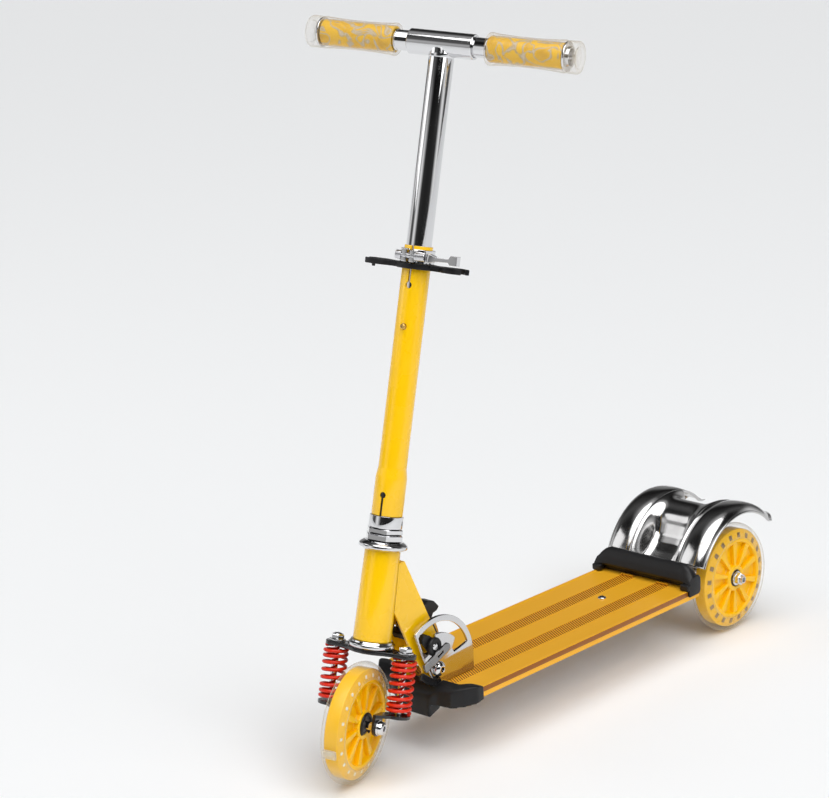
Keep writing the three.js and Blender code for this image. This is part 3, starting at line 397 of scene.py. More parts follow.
def lathe(profile, sides=ROUND, closed=True):
    """A surface of revolution about Z from a list of (radius, height)."""
    build = bmesh.new()
    rings = []
    for radius, height in profile:
        if radius < ON_AXIS:
            rings.append([build.verts.new((0, 0, height))])
            continue
        rings.append([build.verts.new((radius * math.cos(2 * math.pi * k / sides),
                                       radius * math.sin(2 * math.pi * k / sides), height))
                      for k in range(sides)])
    pairs = list(zip(rings, rings[1:]))
    if closed:
        pairs.append((rings[-1], rings[0]))
    for first, second in pairs:
        for k in range(sides):
            n = (k + 1) % sides
            if len(first) == 1 and len(second) == 1:
                break
            if len(first) == 1:
                build.faces.new((first[0], second[n], second[k]))
            elif len(second) == 1:
                build.faces.new((first[k], first[n], second[0]))
            else:
                build.faces.new((first[k], first[n], second[n], second[k]))
    return mesh_of(build, "turned")


def turned_solid(points, radius, steps, sides=ROUND):
    """A rounded outline turned about Z, from the axis or a socket's wall back to the axis."""
    return lathe(rounded(points, radius, steps, closed=False), sides, closed=False)


def evaluated_mesh(thing):
    """The mesh that an object shows once its curve or its modifiers are worked out."""
    bpy.context.view_layer.update()
    graph = bpy.context.evaluated_depsgraph_get()
    return bpy.data.meshes.new_from_object(thing.evaluated_get(graph))


def curve_mesh(data):
    """The mesh that a curve draws."""
    holder = added("curve_holder", data)
    mesh = evaluated_mesh(holder)
    bpy.data.objects.remove(holder)
    return mesh


def plate(outlines, low, high, bevel=0.5, resolution=2):
    """A flat plate with rounded edges: the first outline is its rim and the others are holes."""
    data = bpy.data.curves.new("plate", "CURVE")
    data.dimensions = "2D"
    data.fill_mode = "BOTH"
    data.extrude = (high - low) / 2 - bevel
    data.bevel_depth = bevel
    data.bevel_resolution = resolution
    data.offset = -bevel
    for points in outlines:
        spline = data.splines.new("POLY")
        spline.points.add(len(points) - 1)
        for point, (a, b) in zip(spline.points, points):
            point.co = (a, b, 0, 1)
        spline.use_cyclic_u = True
    mesh = curve_mesh(data)
    mesh.transform(at(0, 0, (low + high) / 2))
    return mesh


def rod(points, radius, resolution=6):
    """A round rod along a path."""
    data = bpy.data.curves.new("rod", "CURVE")
    data.dimensions = "3D"
    data.bevel_depth = radius
    data.bevel_resolution = resolution
    data.use_fill_caps = True
    spline = data.splines.new("POLY")
    spline.points.add(len(points) - 1)
    for point, place in zip(spline.points, points):
        point.co = (*place, 1)
    return curve_mesh(data)


def joined(meshes):
    """One mesh from several."""
    whole = bmesh.new()
    for mesh in meshes:
        whole.from_mesh(mesh)
    return mesh_of(whole, "joined")


def shaped(mesh, matrix):
    mesh.transform(matrix)
    return mesh


def block(low, high):
    """A bmesh with a block between two corners."""
    build = bmesh.new()
    bmesh.ops.create_cube(build, size=1)
    size = [b - a for a, b in zip(low, high)]
    centre = [(a + b) / 2 for a, b in zip(low, high)]
    for vertex in build.verts:
        vertex.co = Vector([vertex.co[i] * size[i] + centre[i] for i in range(3)])
    return build


def softened_box(low, high, bevel=0.6, segments=3):
    """A block with rounded edges, used as a rib, boss or nub of a larger piece."""
    build = block(low, high)
    bmesh.ops.bevel(build, geom=build.edges[:], offset=bevel, segments=segments, affect="EDGES",
                    profile=0.5, clamp_overlap=True)
    return mesh_of(build, "block")


def hexagon_ring(build, radius, height):
    """Six points about Z."""
    return [build.verts.new((*polar(radius, 60 * k), height)) for k in range(6)]


def hexagon(radius, low, high, chamfer=0.7, bore=0.0):
    """A hexagon nut or bolt head with chamfered corners, about Z."""
    build = bmesh.new()
    levels = ((0.9, low), (1, low + chamfer), (1, high - chamfer), (0.9, high))
    rings = [hexagon_ring(build, radius * scale, height) for scale, height in levels]
    bridge(build, rings)
    for ring, height in ((rings[0], low), (rings[-1], high)):
        if bore:
            bridge(build, [ring, hexagon_ring(build, bore, height)])
        else:
            build.faces.new(ring)
    return mesh_of(build, "hexagon")


def keep(node, look, bevel=0.5, segments=2, angle=30):
    """A CAD node whose shape is right stays, with softened edges and a finish."""
    thing = nodes[node]
    thing.data.materials.clear()
    thing.data.materials.append(look.material)
    thing.data.polygons.foreach_set("use_smooth", [True] * len(thing.data.polygons))
    weld = thing.modifiers.new("weld", "WELD")
    weld.merge_threshold = 2e-6
    round_off = thing.modifiers.new("round_off", "BEVEL")
    round_off.width = bevel * MM
    round_off.segments = segments
    round_off.limit_method = "ANGLE"
    round_off.angle_limit = math.radians(angle)
    round_off.harden_normals = False
    normals = thing.modifiers.new("normals", "WEIGHTED_NORMAL")
    normals.keep_sharp = True


def melt(node, look, voxel=1.1, passes=10):
    """A moulded CAD node stays, with every edge melted into a soft radius."""
    thing = nodes[node]
    thing.data.materials.clear()
    thing.data.materials.append(look.material)
    grid = thing.modifiers.new("grid", "REMESH")
    grid.mode = "VOXEL"
    grid.voxel_size = voxel * MM
    grid.use_smooth_shade = True
    ease = thing.modifiers.new("ease", "SMOOTH")
    ease.factor = 0.5
    ease.iterations = passes


# ---- wheels
SPOKES = 10
MARKS = 20
MARK_RADIUS = 47.4
MARK_SIDE = 8.15  # how far a foil mark lies from the wheel's middle
MARK_TILT = 12.5
LIGHT_ANGLE = 24
TYRE_RADIUS = 59.7
TYRE_HALF = 12
REAR_MARK = ((-2.7, -2.4, -0.45), (2.7, 2.4, 0.45))
FRONT_MARK = ((-1.7, -1.5, -0.45), (1.7, 1.5, 0.45))


def wheel_core(prefix, body, place):
    """The yellow core: stepped rim, recessed web, tapered spokes and a hub."""
    half = 10.0
    web = 4.2
    side = [(53.8, 6.6), (44, 8.8), (42.6, 9.9), (40.2, 10), (39.2, 8.6), (38.4, web + 0.6), (36, web),
            (17, web), (15, web + 0.6), (14.4, 8.8), (13.2, half), (9.3, half)]
    other = [(r, -h) for r, h in reversed(side)]
    parts = [lathe(rounded(side + other, 0.9, 3))]
    for index in range(SPOKES):
        turn = Matrix.Rotation(2 * math.pi * index / SPOKES, 4, "Z")
        for sign in (-1, 1):
            outline = [(13, -1.6), (39.6, -3.6), (39.6, 3.6), (13, 1.6)]
            low, high = (web - 1, 9.0) if sign > 0 else (-9.0, 1 - web)
            parts.append(shaped(plate([outline], low, high, 0.7, 3), turn))
    stand_in(f"{prefix}_core", joined(parts), CORE, body, place)


def foil_marks(prefix, body, place):
    """The small foil marks cast into the tyre, all round both sides."""
    corners, foil = (FRONT_MARK, PALE_FOIL) if prefix == "front" else (REAR_MARK, BROWN_FOIL)
    marks = []
    for index in range(MARKS):
        turn = Matrix.Rotation(2 * math.pi * (index + 0.5) / MARKS, 4, "Z")
        for sign in (-1, 1):
            tilt = Matrix.Rotation(math.radians(MARK_TILT) * sign, 4, "Y")
            spot = turn @ at(MARK_RADIUS, 0, sign * MARK_SIDE) @ tilt
            marks.append(shaped(softened_box(*corners, 0.35), spot))
    piece(f"{prefix}_marks", joined(marks), foil, body, matrix=place)


def light_block():
    """The small flashing light cast into the front tyre's tread."""
    turn = Matrix.Rotation(math.radians(LIGHT_ANGLE), 4, "X")
    place = FRONT_WHEEL @ turn
    block = softened_box((-7, -57.8, -4.6), (7, -54.4, 4.6), 1.4, 4)
    piece("front_light_block", block, CLEAR_BLOCK, "front_wheel", matrix=place)
    lamp = softened_box((-2.2, -56.6, -2.2), (2.2, -54.6, 2.2), 0.9, 4)
    piece("front_light_lamp", lamp, PALE_FOIL, "front_wheel", matrix=place)


def wheel_tyre(prefix, body, place):
    """The clear tyre cast around the core's rim."""
    outer = [(TYRE_RADIUS - 11.6 * (1 - math.cos(math.radians(a))) ** 0.9,
              TYRE_HALF * math.sin(math.radians(a))) for a in range(-84, 85, 7)]
    profile = [(54.1, -6.8), (43.6, -9.3), (43.6, -10.7), (45, -11.5), *outer,
               (45, 11.5), (43.6, 10.7), (43.6, 9.3), (54.1, 6.8)]
    stand_in(f"{prefix}_tyre", lathe(profile, 128), CLEAR, body, place, angle=50)


def wheel_bearing(prefix, body, place):
    """A shielded ball bearing and its races."""
    face = [(9, 9.2), (8.6, 10), (7.8, 10), (7.6, 9.3), (6.1, 9.3), (5.9, 10), (4.4, 10)]
    profile = face + [(r, -h) for r, h in reversed(face)]
    stand_in(f"{prefix}_bearing", lathe(rounded(profile, 0.25, 2)), DARK_STEEL, body, place)


def add_wheel(prefix, body, centre):
    place = centre @ TO_X
    wheel_core(prefix, body, place)
    foil_marks(prefix, body, place)
    wheel_tyre(prefix, body, place)
    wheel_bearing(prefix, body, place)


FRONT_WHEEL = STEER @ at(0, -AXLE_AHEAD, -AXLE_DROP)
REAR_LINE = FIT @ at(0, WHEELBASE, AXLE_HEIGHT)
add_wheel("front", "front_wheel", FRONT_WHEEL)
for side, sign in (("left", 1), ("right", -1)):
    add_wheel(f"{side}_rear", f"{side}_rear_wheel", REAR_LINE @ at(sign * REAR_TRACK / 2, 0, 0))


def hub_ring():
    """The black C-shaped seal around the front hub, on both faces."""
    rings = []
    for sign in (-1, 1):
        path = [(*polar(10.4, angle), sign * 10.3) for angle in range(40, 321, 8)]
        rings.append(rod(path, 1.7, resolution=4))
    piece("front_hub_ring", joined(rings), BLACK, "front_wheel",
          matrix=FRONT_WHEEL @ TO_X)


hub_ring()
light_block()

# ---- nuts and bolts
NUT_RADIUS = 6.9
REAR_NUT = (57.3, 64)
REAR_AXLE_END = 67
FRONT_HEAD_START = 23.5


def flanged_nut(node, low, high, matrix, body, bolt_end=None):
    """A hexagon nut with a washer face, and a bolt's end that may stand out of it, about X."""
    washer = NUT_RADIUS * 1.12
    flange = turned_solid([(0, low), (washer, low), (washer, low + 1.1), (0, low + 1.1)], 0.3, 2)
    parts = [flange, hexagon(NUT_RADIUS, low + 0.9, high, 0.8)]
    if bolt_end:
        parts.append(turned_solid([(0, high - 1), (3.6, high - 1), (3.6, bolt_end - 0.5),
                                   (3.0, bolt_end), (0, bolt_end)], 0.3, 2))
    stand_in(node, joined(parts), CHROME, body, matrix @ TO_X)


MIRROR_X = Matrix.Scale(-1, 4, (1, 0, 0))


def front_axle():
    """The front axle bolt: shank, washer and a button head with a round socket."""
    low = FRONT_HEAD_START
    head = turned_solid([(2.6, 27.2), (2.6, 30), (4.2, 30), (6, 28.6), (6.7, 26), (6.7, 24.4), (7.4, 24.3),
                         (7.4, low), (0, low), (0, 27.2)], 0.3, 2)
    shank = lathe([(0, -24), (4, -24), (4, low + 0.2), (0, low + 0.2)], 48)
    stand_in("front_axle", joined([head, shank]), CHROME, "carriage", FRONT_WHEEL @ TO_X)


front_axle()
flanged_nut("front_axle_nut", FRONT_HEAD_START, 28, FRONT_WHEEL @ MIRROR_X, "carriage")
flanged_nut("left_axle_nut", *REAR_NUT, REAR_LINE, "deck", REAR_AXLE_END)
flanged_nut("right_axle_nut", *REAR_NUT, REAR_LINE @ MIRROR_X, "deck", REAR_AXLE_END)
keep("rear_axle", STEEL, 0.2)
keep("brake_pin", STEEL, 0.2)
keep("brake_spring", STEEL, 0.2)

# ---- suspension
SPRING_X = 36.0
CROWN_BOTTOM = 64.5
CROWN_TOP = 68.5
SEAT_TOP = 10.0
SPRING_TURNS = 8.5
SPRING_RADIUS = 10.7
SPRING_WIRE = 1.7
STEPS_IN_A_TURN = 40


def coil(name, x):
    """A red coil spring, its turns closer together at both ends."""
    low = SEAT_TOP + 2.0
    high = CROWN_BOTTOM - 2.0
    steps = int(SPRING_TURNS * STEPS_IN_A_TURN)
    points = []
    for k in range(steps + 1):
        t = k / steps
        eased = t - 0.045 * math.sin(2 * math.pi * t)
        angle = t * SPRING_TURNS * 2 * math.pi
        points.append((x + SPRING_RADIUS * math.cos(angle), SPRING_RADIUS * math.sin(angle),
                       low + (high - low) * eased))
    wire = rod(points, SPRING_WIRE)
    thing = stand_in(name, wire, RED, "fork", STEER, angle=60)
    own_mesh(thing)


def guide_bolt(name, x):
    """A guide bolt: domed hexagon head and washer on the crown, polished shank in the spring."""
    washer = turned_solid([(0, CROWN_TOP + GAP), (8, CROWN_TOP + GAP), (8, CROWN_TOP + 1.9),
                           (0, CROWN_TOP + 1.9)], 0.4, 2)
    crest = [(4.8 * math.sin(math.radians(a)), CROWN_TOP + 6 + 2 * math.cos(math.radians(a)))
             for a in range(15, 91, 15)]
    dome = lathe([(0, CROWN_TOP + 8), *crest, (0, CROWN_TOP + 6)], 48, closed=False)
    shank = lathe([(0, SEAT_TOP + GAP), (3.2, SEAT_TOP + GAP), (3.2, CROWN_TOP + 1), (0, CROWN_TOP + 1)], 48)
    head = hexagon(6.6, CROWN_TOP + 1.8, CROWN_TOP + 6.4, 0.8)
    stand_in(name, joined([washer, head, dome, shank]), CHROME, "carriage", STEER @ at(x, 0, 0))


for side, x in (("left", SPRING_X), ("right", -SPRING_X)):
    coil(f"{side}_spring", x)
    guide_bolt(f"{side}_guide_bolt", x)
    keep(f"{side}_lower_bracket", BLACK_PAINT, 0.4)


def crown():
    """The black crown plate: a round middle and an eye at each spring, with the steerer tube on it."""
    half = [(0, -20.5), (10, -18), (20, -12), (27, -9.6)]
    eye = arc((SPRING_X, 0), 11, -62, 62, 14)
    top = [(x, -y) for x, y in reversed(half)]
    right = half + eye + top[:-1]
    left = [(-x, y) for x, y in reversed(right)][1:]
    rim = rounded(right + [(0, 20.5)] + left[:-1], 2, 3)
    holes = [arc((x, 0), 3.6, 0, 345, 23) for x in (-SPRING_X, SPRING_X)]
    holes.append(arc((0, 0), 12.4, 0, 350, 35))
    flat = plate([rim, *holes], CROWN_BOTTOM, CROWN_TOP, 0.8, 3)
    steerer = lathe([(13.6, CROWN_TOP - 1), (13.6, 236), (12.3, 236), (12.3, CROWN_TOP - 1)])
    stand_in("fork_crown", joined([flat, steerer]), BLACK_PAINT, "fork", STEER)


crown()

# ---- head tube and bearing cups
HEAD_BOTTOM = 76.5
HEAD_TOP = 163.0
UPPER_CUP_TOP = 171.7
LOCK_NUT_TOP = 178.5
TOP_NUT_TOP = 184.2
COLLAR_TOP = 196.0


def head_set():
    """The head tube, both cups, the lock nut, the top nut and the collar."""
    tube = rounded([(13.9, HEAD_BOTTOM), (18.5, HEAD_BOTTOM), (17, HEAD_TOP), (13.9, HEAD_TOP)], 0.5, 3)
    stand_in("head_tube", lathe(tube), YELLOW, "head", HEAD)
    lower = [(13.9, CROWN_TOP + GAP), (20.6, CROWN_TOP + GAP), (22.6, CROWN_TOP + 1.6),
             (22.6, HEAD_BOTTOM - 3.4), (21, HEAD_BOTTOM - 2.4), (20.2, HEAD_BOTTOM - GAP),
             (13.9, HEAD_BOTTOM - GAP)]
    stand_in("lower_cup", lathe(rounded(lower, 0.7, 3)), CHROME, "head", HEAD)
    upper = [(13.9, HEAD_TOP + GAP), (19.6, HEAD_TOP + GAP), (21.4, HEAD_TOP + 1.6), (23.5, HEAD_TOP + 2.4),
             (23.5, UPPER_CUP_TOP - 3.2), (21.6, UPPER_CUP_TOP - 1.6), (19, UPPER_CUP_TOP),
             (13.9, UPPER_CUP_TOP)]
    stand_in("upper_cup", lathe(rounded(upper, 0.9, 4)), CHROME, "head", HEAD)
    for name, radius, low, high in (("lock_nut", 19, UPPER_CUP_TOP + GAP, LOCK_NUT_TOP),
                                    ("top_nut", 18.5, LOCK_NUT_TOP + GAP, TOP_NUT_TOP)):
        nut = hexagon(radius, low, high, 1.0, bore=14.2)
        stand_in(name, nut, CHROME, "fork", STEER)
    collar = [(13.9, TOP_NUT_TOP + GAP), (16.2, TOP_NUT_TOP + GAP), (16.2, COLLAR_TOP), (13.9, COLLAR_TOP)]
    stand_in("column_collar", lathe(rounded(collar, 0.5, 3)), CHROME, "fork", STEER)


head_set()

# ---- folding bracket
PLATE_INNER_X = 20.3
PLATE_OUTER_X = 23.3
LATCH_FACE = 25.8  # where the knob starts, outside the plate
LEVER_REACH = (32.5, 13)  # how far the release lever runs forward and down


def half_moon(name, low, high):
    """A half-moon side plate with its arc window and two notches."""
    rim = pivot_arc(53, -36, 86, 40) + [(151, 72.6), (92.5, 72.6), (89.5, 81.7), (77.8, 106.3)]
    front = [about_pivot(29, -43), *pivot_arc(26, -30, -6, 8)]
    rear = pivot_arc(26, 56, 68, 5)
    window = (pivot_arc(47, 72, -34.5, 36) + [about_pivot(38, -38)] + front
              + pivot_arc(35.5, -4, 48, 18) + rear)
    hole = arc(PIVOT, 4.3, 0, 345, 23)
    mesh = plate([rounded(rim, 1.2, 3), rounded(window, 1.6, 3), hole], low, high, 0.45, 3)
    stand_in(name, mesh, PLATE_STEEL, "deck", FIT @ SIDEWAYS)


half_moon("left_fold_plate", PLATE_INNER_X, PLATE_OUTER_X)
half_moon("right_fold_plate", -PLATE_OUTER_X, -PLATE_INNER_X)


def pivot_hardware():
    """The pivot bolt with its broad low head and round socket, and its nut."""
    start = PLATE_OUTER_X + GAP
    head = turned_solid([(2.4, start + 3.6), (2.4, start + 5.7), (4.2, start + 5.7), (6.4, start + 4),
                         (7.5, start + 2), (7.5, start), (0, start), (0, start + 3.6)], 0.4, 3)
    shank = lathe([(0, -28.5), (4, -28.5), (4, start + 0.5), (0, start + 0.5)], 48)
    place = FIT @ at(0, PIVOT[0], PIVOT[1])
    stand_in("pivot_bolt", joined([head, shank]), CHROME, "deck", place @ TO_X)
    nut = hexagon(7.5, -27, -PLATE_OUTER_X - GAP, 0.7)
    stand_in("pivot_nut", nut, CHROME, "deck", place @ TO_X)


pivot_hardware()
keep("folding_leg", YELLOW, 0.9, 3)
keep("stop_strap", BLACK_PAINT, 0.4)
keep("latch_slider", BLACK, 0.5)
melt("release_trigger", BLACK, 0.7, 8)


def latch_hardware():
    """The black knob with a metal screw in it, and the flat slotted lever."""
    start = LATCH_FACE
    knob = turned_solid([(0, start), (9.3, start), (9.3, start + 2.4), (8.2, start + 3.7), (4.6, start + 3.7),
                         (4.6, start + 2.2), (0, start + 2.2)], 0.6, 4)
    place = FIT @ at(0, 89, 115) @ TO_X
    stand_in("latch_knob", knob, BLACK, "latch", place)
    screw = turned_solid([(0, start + 1.9), (3.6, start + 1.9), (3.6, start + 3), (2.6, start + 3.7),
                          (0, start + 3.7)], 0.3, 3)
    piece("latch_knob_screw", screw, CHROME, "latch", matrix=place)
    length = math.hypot(*LEVER_REACH)
    slope = math.atan2(LEVER_REACH[1], LEVER_REACH[0])
    rim = arc((0, 0), 4.4, 90, -90, 16) + [(-length, -4.4), (-length, 4.4)]
    slot = rounded([(-15, -1.3), (-6, -1.3), (-6, 1.3), (-15, 1.3)], 1.2, 4)
    lever = plate([rounded(rim, 1.5, 3), slot], 29.8, 32.8, 0.5, 3)
    stand_in("fold_lever", lever, LEVER_STEEL, "fold_lever",
             FIT @ at(0, 102, 111.5) @ SIDEWAYS @ Matrix.Rotation(slope, 4, "Z"))


latch_hardware()

# ---- steering column
FLARE_START = 232.0
FLARE_END = 241.5
COLUMN_TOP = 452.0
HOLDER_BOTTOM = 430.3
HOLDER_TOP = 435.6
BUTTON_HEIGHT = 376.0
HOLDER_HUB = 19.5
CLIP_X = 39
CLIP_OUTER = 14
CLIP_INNER = 10.2


def front_drill(height, radius):
    """A round cutter through the column's front wall."""
    return shaped(lathe([(0, 5), (radius, 5), (radius, 20), (0, 20)], 48), at(0, 0, height) @ TO_FRONT)


def keyhole(low, high, hole, radius, half_width):
    """The cutters of a slot in the column's front wall that ends in a round hole."""
    slot = mesh_of(block((-half_width, -20, low), (half_width, -5, high)), "slot")
    return slot, front_drill(hole, radius)


def cut_away(thing, cutter_mesh):
    """Takes the cutter's shape out of an object's mesh."""
    cutter = added("cutter", faced(cutter_mesh))
    step = thing.modifiers.new("cut", "BOOLEAN")
    step.operation = "DIFFERENCE"
    step.solver = "EXACT"
    step.object = cutter
    result = evaluated_mesh(thing)
    thing.modifiers.clear()
    thing.data = result
    bpy.data.objects.remove(cutter)


def round_column():
    """The yellow column: a smooth tube with a keyhole slot at each end and a hole for the button."""
    shell = [(13.9, COLLAR_TOP + GAP), (15, COLLAR_TOP + GAP), (15, FLARE_START), (14.6, FLARE_START + 3),
             (13.8, FLARE_END - 2), (13.5, FLARE_END), (13.5, COLUMN_TOP), (12.3, COLUMN_TOP),
             (12.3, FLARE_END), (13.9, FLARE_START + 4)]
    tube = added("column_shell", lathe(rounded(shell, 0.4, 2), 192))
    cutters = [*keyhole(415, COLUMN_TOP + 2, 415, 3.2, 1.3), *keyhole(COLLAR_TOP - 2, 216, 216, 3.0, 1.2),
               front_drill(BUTTON_HEIGHT, 3.1)]
    for cutter_mesh in cutters:
        cut_away(tube, cutter_mesh)
    finished = tube.data.copy()
    bpy.data.objects.remove(tube)
    stand_in("column_tube", finished, YELLOW, "fork", STEER, angle=25)


round_column()


def height_button():
    """The sprung brass button with a dimple."""
    dome = [(0, 16.1), (1.0, 16.2), (1.9, 16.3), (2.6, 15.6), (2.8, 14.8), (2.8, 13.4), (0, 13.4)]
    stand_in("height_button", turned_solid(dome, 0.3, 2, 48), BRASS, "height_button",
             STEER @ at(0, 0, BUTTON_HEIGHT) @ TO_FRONT)


height_button()
keep("clamp_band", CHROME, 0.5, 3)
keep("clamp_skewer", STEEL, 0.4)
keep("clamp_lever", CHROME, 0.6, 3)


def grip_holder():
    """The black plate with a round clip on each side that takes a hanging grip."""
    clip = (CLIP_X, 0)
    half = arc((0, 0), HOLDER_HUB, 90, 22, 10) + [(26, 7)]  # hub, from the back round to the arm
    half += arc(clip, CLIP_OUTER, 143, 17, 12)  # back of the clip
    half += arc(clip, CLIP_INNER, 23, 180, 16)  # inside, back
    half += arc(clip, CLIP_INNER, 180, 303.6, 12)  # inside, front
    half += arc(clip, CLIP_OUTER, 322, 217, 10) + [(26, -7)]  # front of the clip, back to the arm
    half += arc((0, 0), HOLDER_HUB, -22, -90, 10)
    other = [(-x, y) for x, y in reversed(half)][1:-1]
    rim = rounded(half + other, 0.8, 2)
    hole = arc((0, 0), 13.8, 0, 355, 71)
    mesh = plate([rim, hole], HOLDER_BOTTOM, HOLDER_TOP, 0.8, 3)
    peg = shaped(turned_solid([(0, -3.2), (1.6, -3.2), (1.8, 0.5), (0, 0.5)], 0.4, 2, 32),
                 at(-49, 9.4, HOLDER_BOTTOM))
    stand_in("grip_holder", joined([mesh, peg]), BLACK, "fork", STEER)


grip_holder()

# ---- handlebar
BAR_HEIGHT = 640.7
STEM_BOTTOM = 330.0
GRIP_START = 47.7
GRIP_END = 124.3
BAR_HALF = 137.4
WAIST_STEPS = 24


def stem():
    """The chrome T: the sliding post, the sleeve across it and the low weld ring between them."""
    post_top = BAR_HEIGHT - 4
    post = [(10.6, STEM_BOTTOM), (12, STEM_BOTTOM), (12, post_top), (10.6, post_top)]
    weld = lathe([(12.0, BAR_HEIGHT - 12.5), (12.3, BAR_HEIGHT - 11.5), (12.3, BAR_HEIGHT - 9),
                  (11.0, BAR_HEIGHT - 9), (11.0, BAR_HEIGHT - 12.5)], 128)
    sleeve_profile = [(9.8, -33), (11.7, -33), (12, -32.5), (12, 32.5), (11.7, 33), (9.8, 33)]
    sleeve = shaped(lathe(sleeve_profile, 128), at(0, 0, BAR_HEIGHT) @ TO_X)
    stand_in("stem", joined([lathe(rounded(post, 0.3, 2), 128), sleeve, weld]), CHROME, "stem",
             STEER, angle=28)


stem()


def grip(side, sign):
    """One grip about X: chrome tube, marbled insert, clear waisted sleeve and clear end cap."""
    place = STEER @ at(0, 0, BAR_HEIGHT) @ (Matrix.Identity(4) if sign > 0 else MIRROR_X) @ TO_X
    body = f"{side}_grip"
    tube = [(8, 3), (9.5, 3), (9.5, 46), (10.3, 46.4), (10.3, 47.2), (9.5, 47.4), (9.5, GRIP_END + 0.3),
            (14.2, GRIP_END + 0.3), (14.2, GRIP_END + 2), (9.5, GRIP_END + 2), (9.5, GRIP_END + 5),
            (8, GRIP_END + 5)]
    stand_in(f"{side}_grip_tube", lathe(rounded(tube, 0.25, 2)), CHROME, body, place)
    insert = [(9.8, GRIP_START + 1), (12.2, GRIP_START + 1), (12.0, GRIP_START + 20), (12.0, GRIP_END - 20),
              (12.2, GRIP_END - 1), (9.8, GRIP_END - 1)]
    stand_in(f"{side}_grip_insert", lathe(rounded(insert, 0.3, 2)), INSERT, body, place)
    outer = [(15.1, GRIP_START), (15.5, GRIP_START + 0.6), (15.5, GRIP_START + 2.4)]
    for k in range(1, WAIST_STEPS):
        t = k / WAIST_STEPS
        waist = 15.3 - 1.45 * math.sin(math.pi * t) ** 0.8
        outer.append((waist, GRIP_START + 2.6 + (GRIP_END - GRIP_START - 5.2) * t))
    outer += [(15.3, GRIP_END - 2.4), (15.2, GRIP_END - 0.5), (14.8, GRIP_END)]
    sleeve = [(12.8, GRIP_START), *outer, (12.8, GRIP_END)]
    stand_in(f"{side}_grip_sleeve", lathe(sleeve), CLEAR_GRIP, body, place, angle=45)
    start = GRIP_END + 2.3
    cap = [(9.8, start), (15.0, start), (15.2, start + 1.2), (14.9, start + 2), (15.2, start + 2.8),
           (15.0, start + 3.8), (15.2, BAR_HALF - 3.4), (15.2, BAR_HALF - 1.6), (14.4, BAR_HALF),
           (10.5, BAR_HALF), (9.6, BAR_HALF - 2), (0, BAR_HALF - 2), (0, GRIP_END + 5.4),
           (9.8, GRIP_END + 5.4)]
    stand_in(f"{side}_grip_cap", lathe(rounded(cap, 0.35, 2)), CLEAR_GRIP, body, place,
             angle=45)


grip("left", 1)
grip("right", -1)

# ---- deck
RIBBED = ((-29, -12), (17, 34))  # the two strips of slanting ribs, as spans of x
RIB_PITCH = 3.2
RIB_WIDTH = 1.45
RIB_SLANT = 0.57  # how far a rib runs forward for each millimetre to the left
RIBS_START = 113.0
RIBS_END = DECK_REAR - 14
GROOVES = ((-9.8, -9.2), (36.2, 36.8))
DECK_SCREW_Y = 386.0
DECK_FOOT = 62.0
DECK_WALL = 2.2
CAP_HEIGHT = 26  # from the deck to the rear cap's crest
CAP_BEND = 46  # the rear cap sinks outside this x
CAP_SINK = 13
DECK_SKIN = 3.4
DECK_EDGE = 0.6  # how far the side edges stand above the deck


def deck_front_at(x):
    """Where the deck starts behind the swept front cap."""
    across = abs(x)
    return DECK_FRONT + GAP + min(10, max(0, across - 45)) * 1.4


def deck():
    """The gold deck: raised edges, fine grooves and sunk strips for the ribs."""
    half, inner = DECK_HALF, DECK_HALF - DECK_WALL
    edge = DECK_TOP + DECK_EDGE
    top = [(half, DECK_TOP + 0.2), (half - 0.4, edge), (half - 3, edge), (half - 4.2, DECK_TOP)]
    for low, high in sorted([*GROOVES, *RIBBED], reverse=True):
        floor_z = DECK_TOP - (1.1 if (low, high) in RIBBED else 0.35)
        top += [(high, DECK_TOP), (high - 0.2, floor_z), (low + 0.2, floor_z), (low, DECK_TOP)]
    top += [(-x, z) for x, z in reversed(top[:4])]
    skin = DECK_TOP - DECK_SKIN
    section = ([(half, DECK_FOOT)] + top
               + [(-half, DECK_FOOT), (-inner, DECK_FOOT), (-inner, skin), (inner, skin), (inner, DECK_FOOT)])
    build = bmesh.new()
    front = [build.verts.new((x, deck_front_at(x), z)) for x, z in section]
    rear = [build.verts.new((x, DECK_REAR, z)) for x, z in section]
    bridge(build, [front, rear])
    for row in (front, rear):
        build.faces.new(row)
    stand_in("deck_plate", mesh_of(build, "deck"), GOLD, "deck", FIT, angle=20)


def deck_ribs():
    """The slanting ribs in the two strips, dark bars of painted shade on a gold bed, and a dark band of
    painted shade on each side.
    """
    bars = []
    bed_top = DECK_TOP - 0.35
    slant = Matrix(((1, 0, 0, 0), (-RIB_SLANT, 1, 0, 0), (0, 0, 1, 0), (0, 0, 0, 1)))
    for low, high in RIBBED:
        reach = (high - low) / 2 - 0.2
        bar = ((-reach, 0, bed_top - 0.3), (reach, RIB_WIDTH, DECK_TOP - 0.03))
        y = RIBS_START
        while y < RIBS_END:
            bars.append(shaped(softened_box(*bar, 0.12, 1), at((low + high) / 2, y, 0) @ slant))
            y += RIB_PITCH
    # The ribs take the dark gold: painted shade between the ribs.
    piece("deck_ribs", joined(bars), GOLD_PAINTED_SHADE, "deck", matrix=FIT, angle=20)
    beds = [softened_box((low + GAP, 105.5, bed_top - 0.7), (high - GAP, DECK_REAR - 1, bed_top), 0.05)
            for low, high in RIBBED]
    piece("deck_rib_beds", joined(beds), GOLD, "deck", matrix=FIT, angle=20)
    # A dark gold band along each side of the deck, below the top edge: painted shade.
    side_shade_bands = [softened_box((x - 0.4, 119, 66.8), (x + 0.4, DECK_REAR - 1, DECK_TOP), 0.3)
            for x in (GAP - DECK_HALF, DECK_HALF - GAP)]
    piece("deck_side_shade_bands", joined(side_shade_bands), GOLD_PAINTED_SHADE, "deck", matrix=FIT, angle=20)


deck()
deck_ribs()


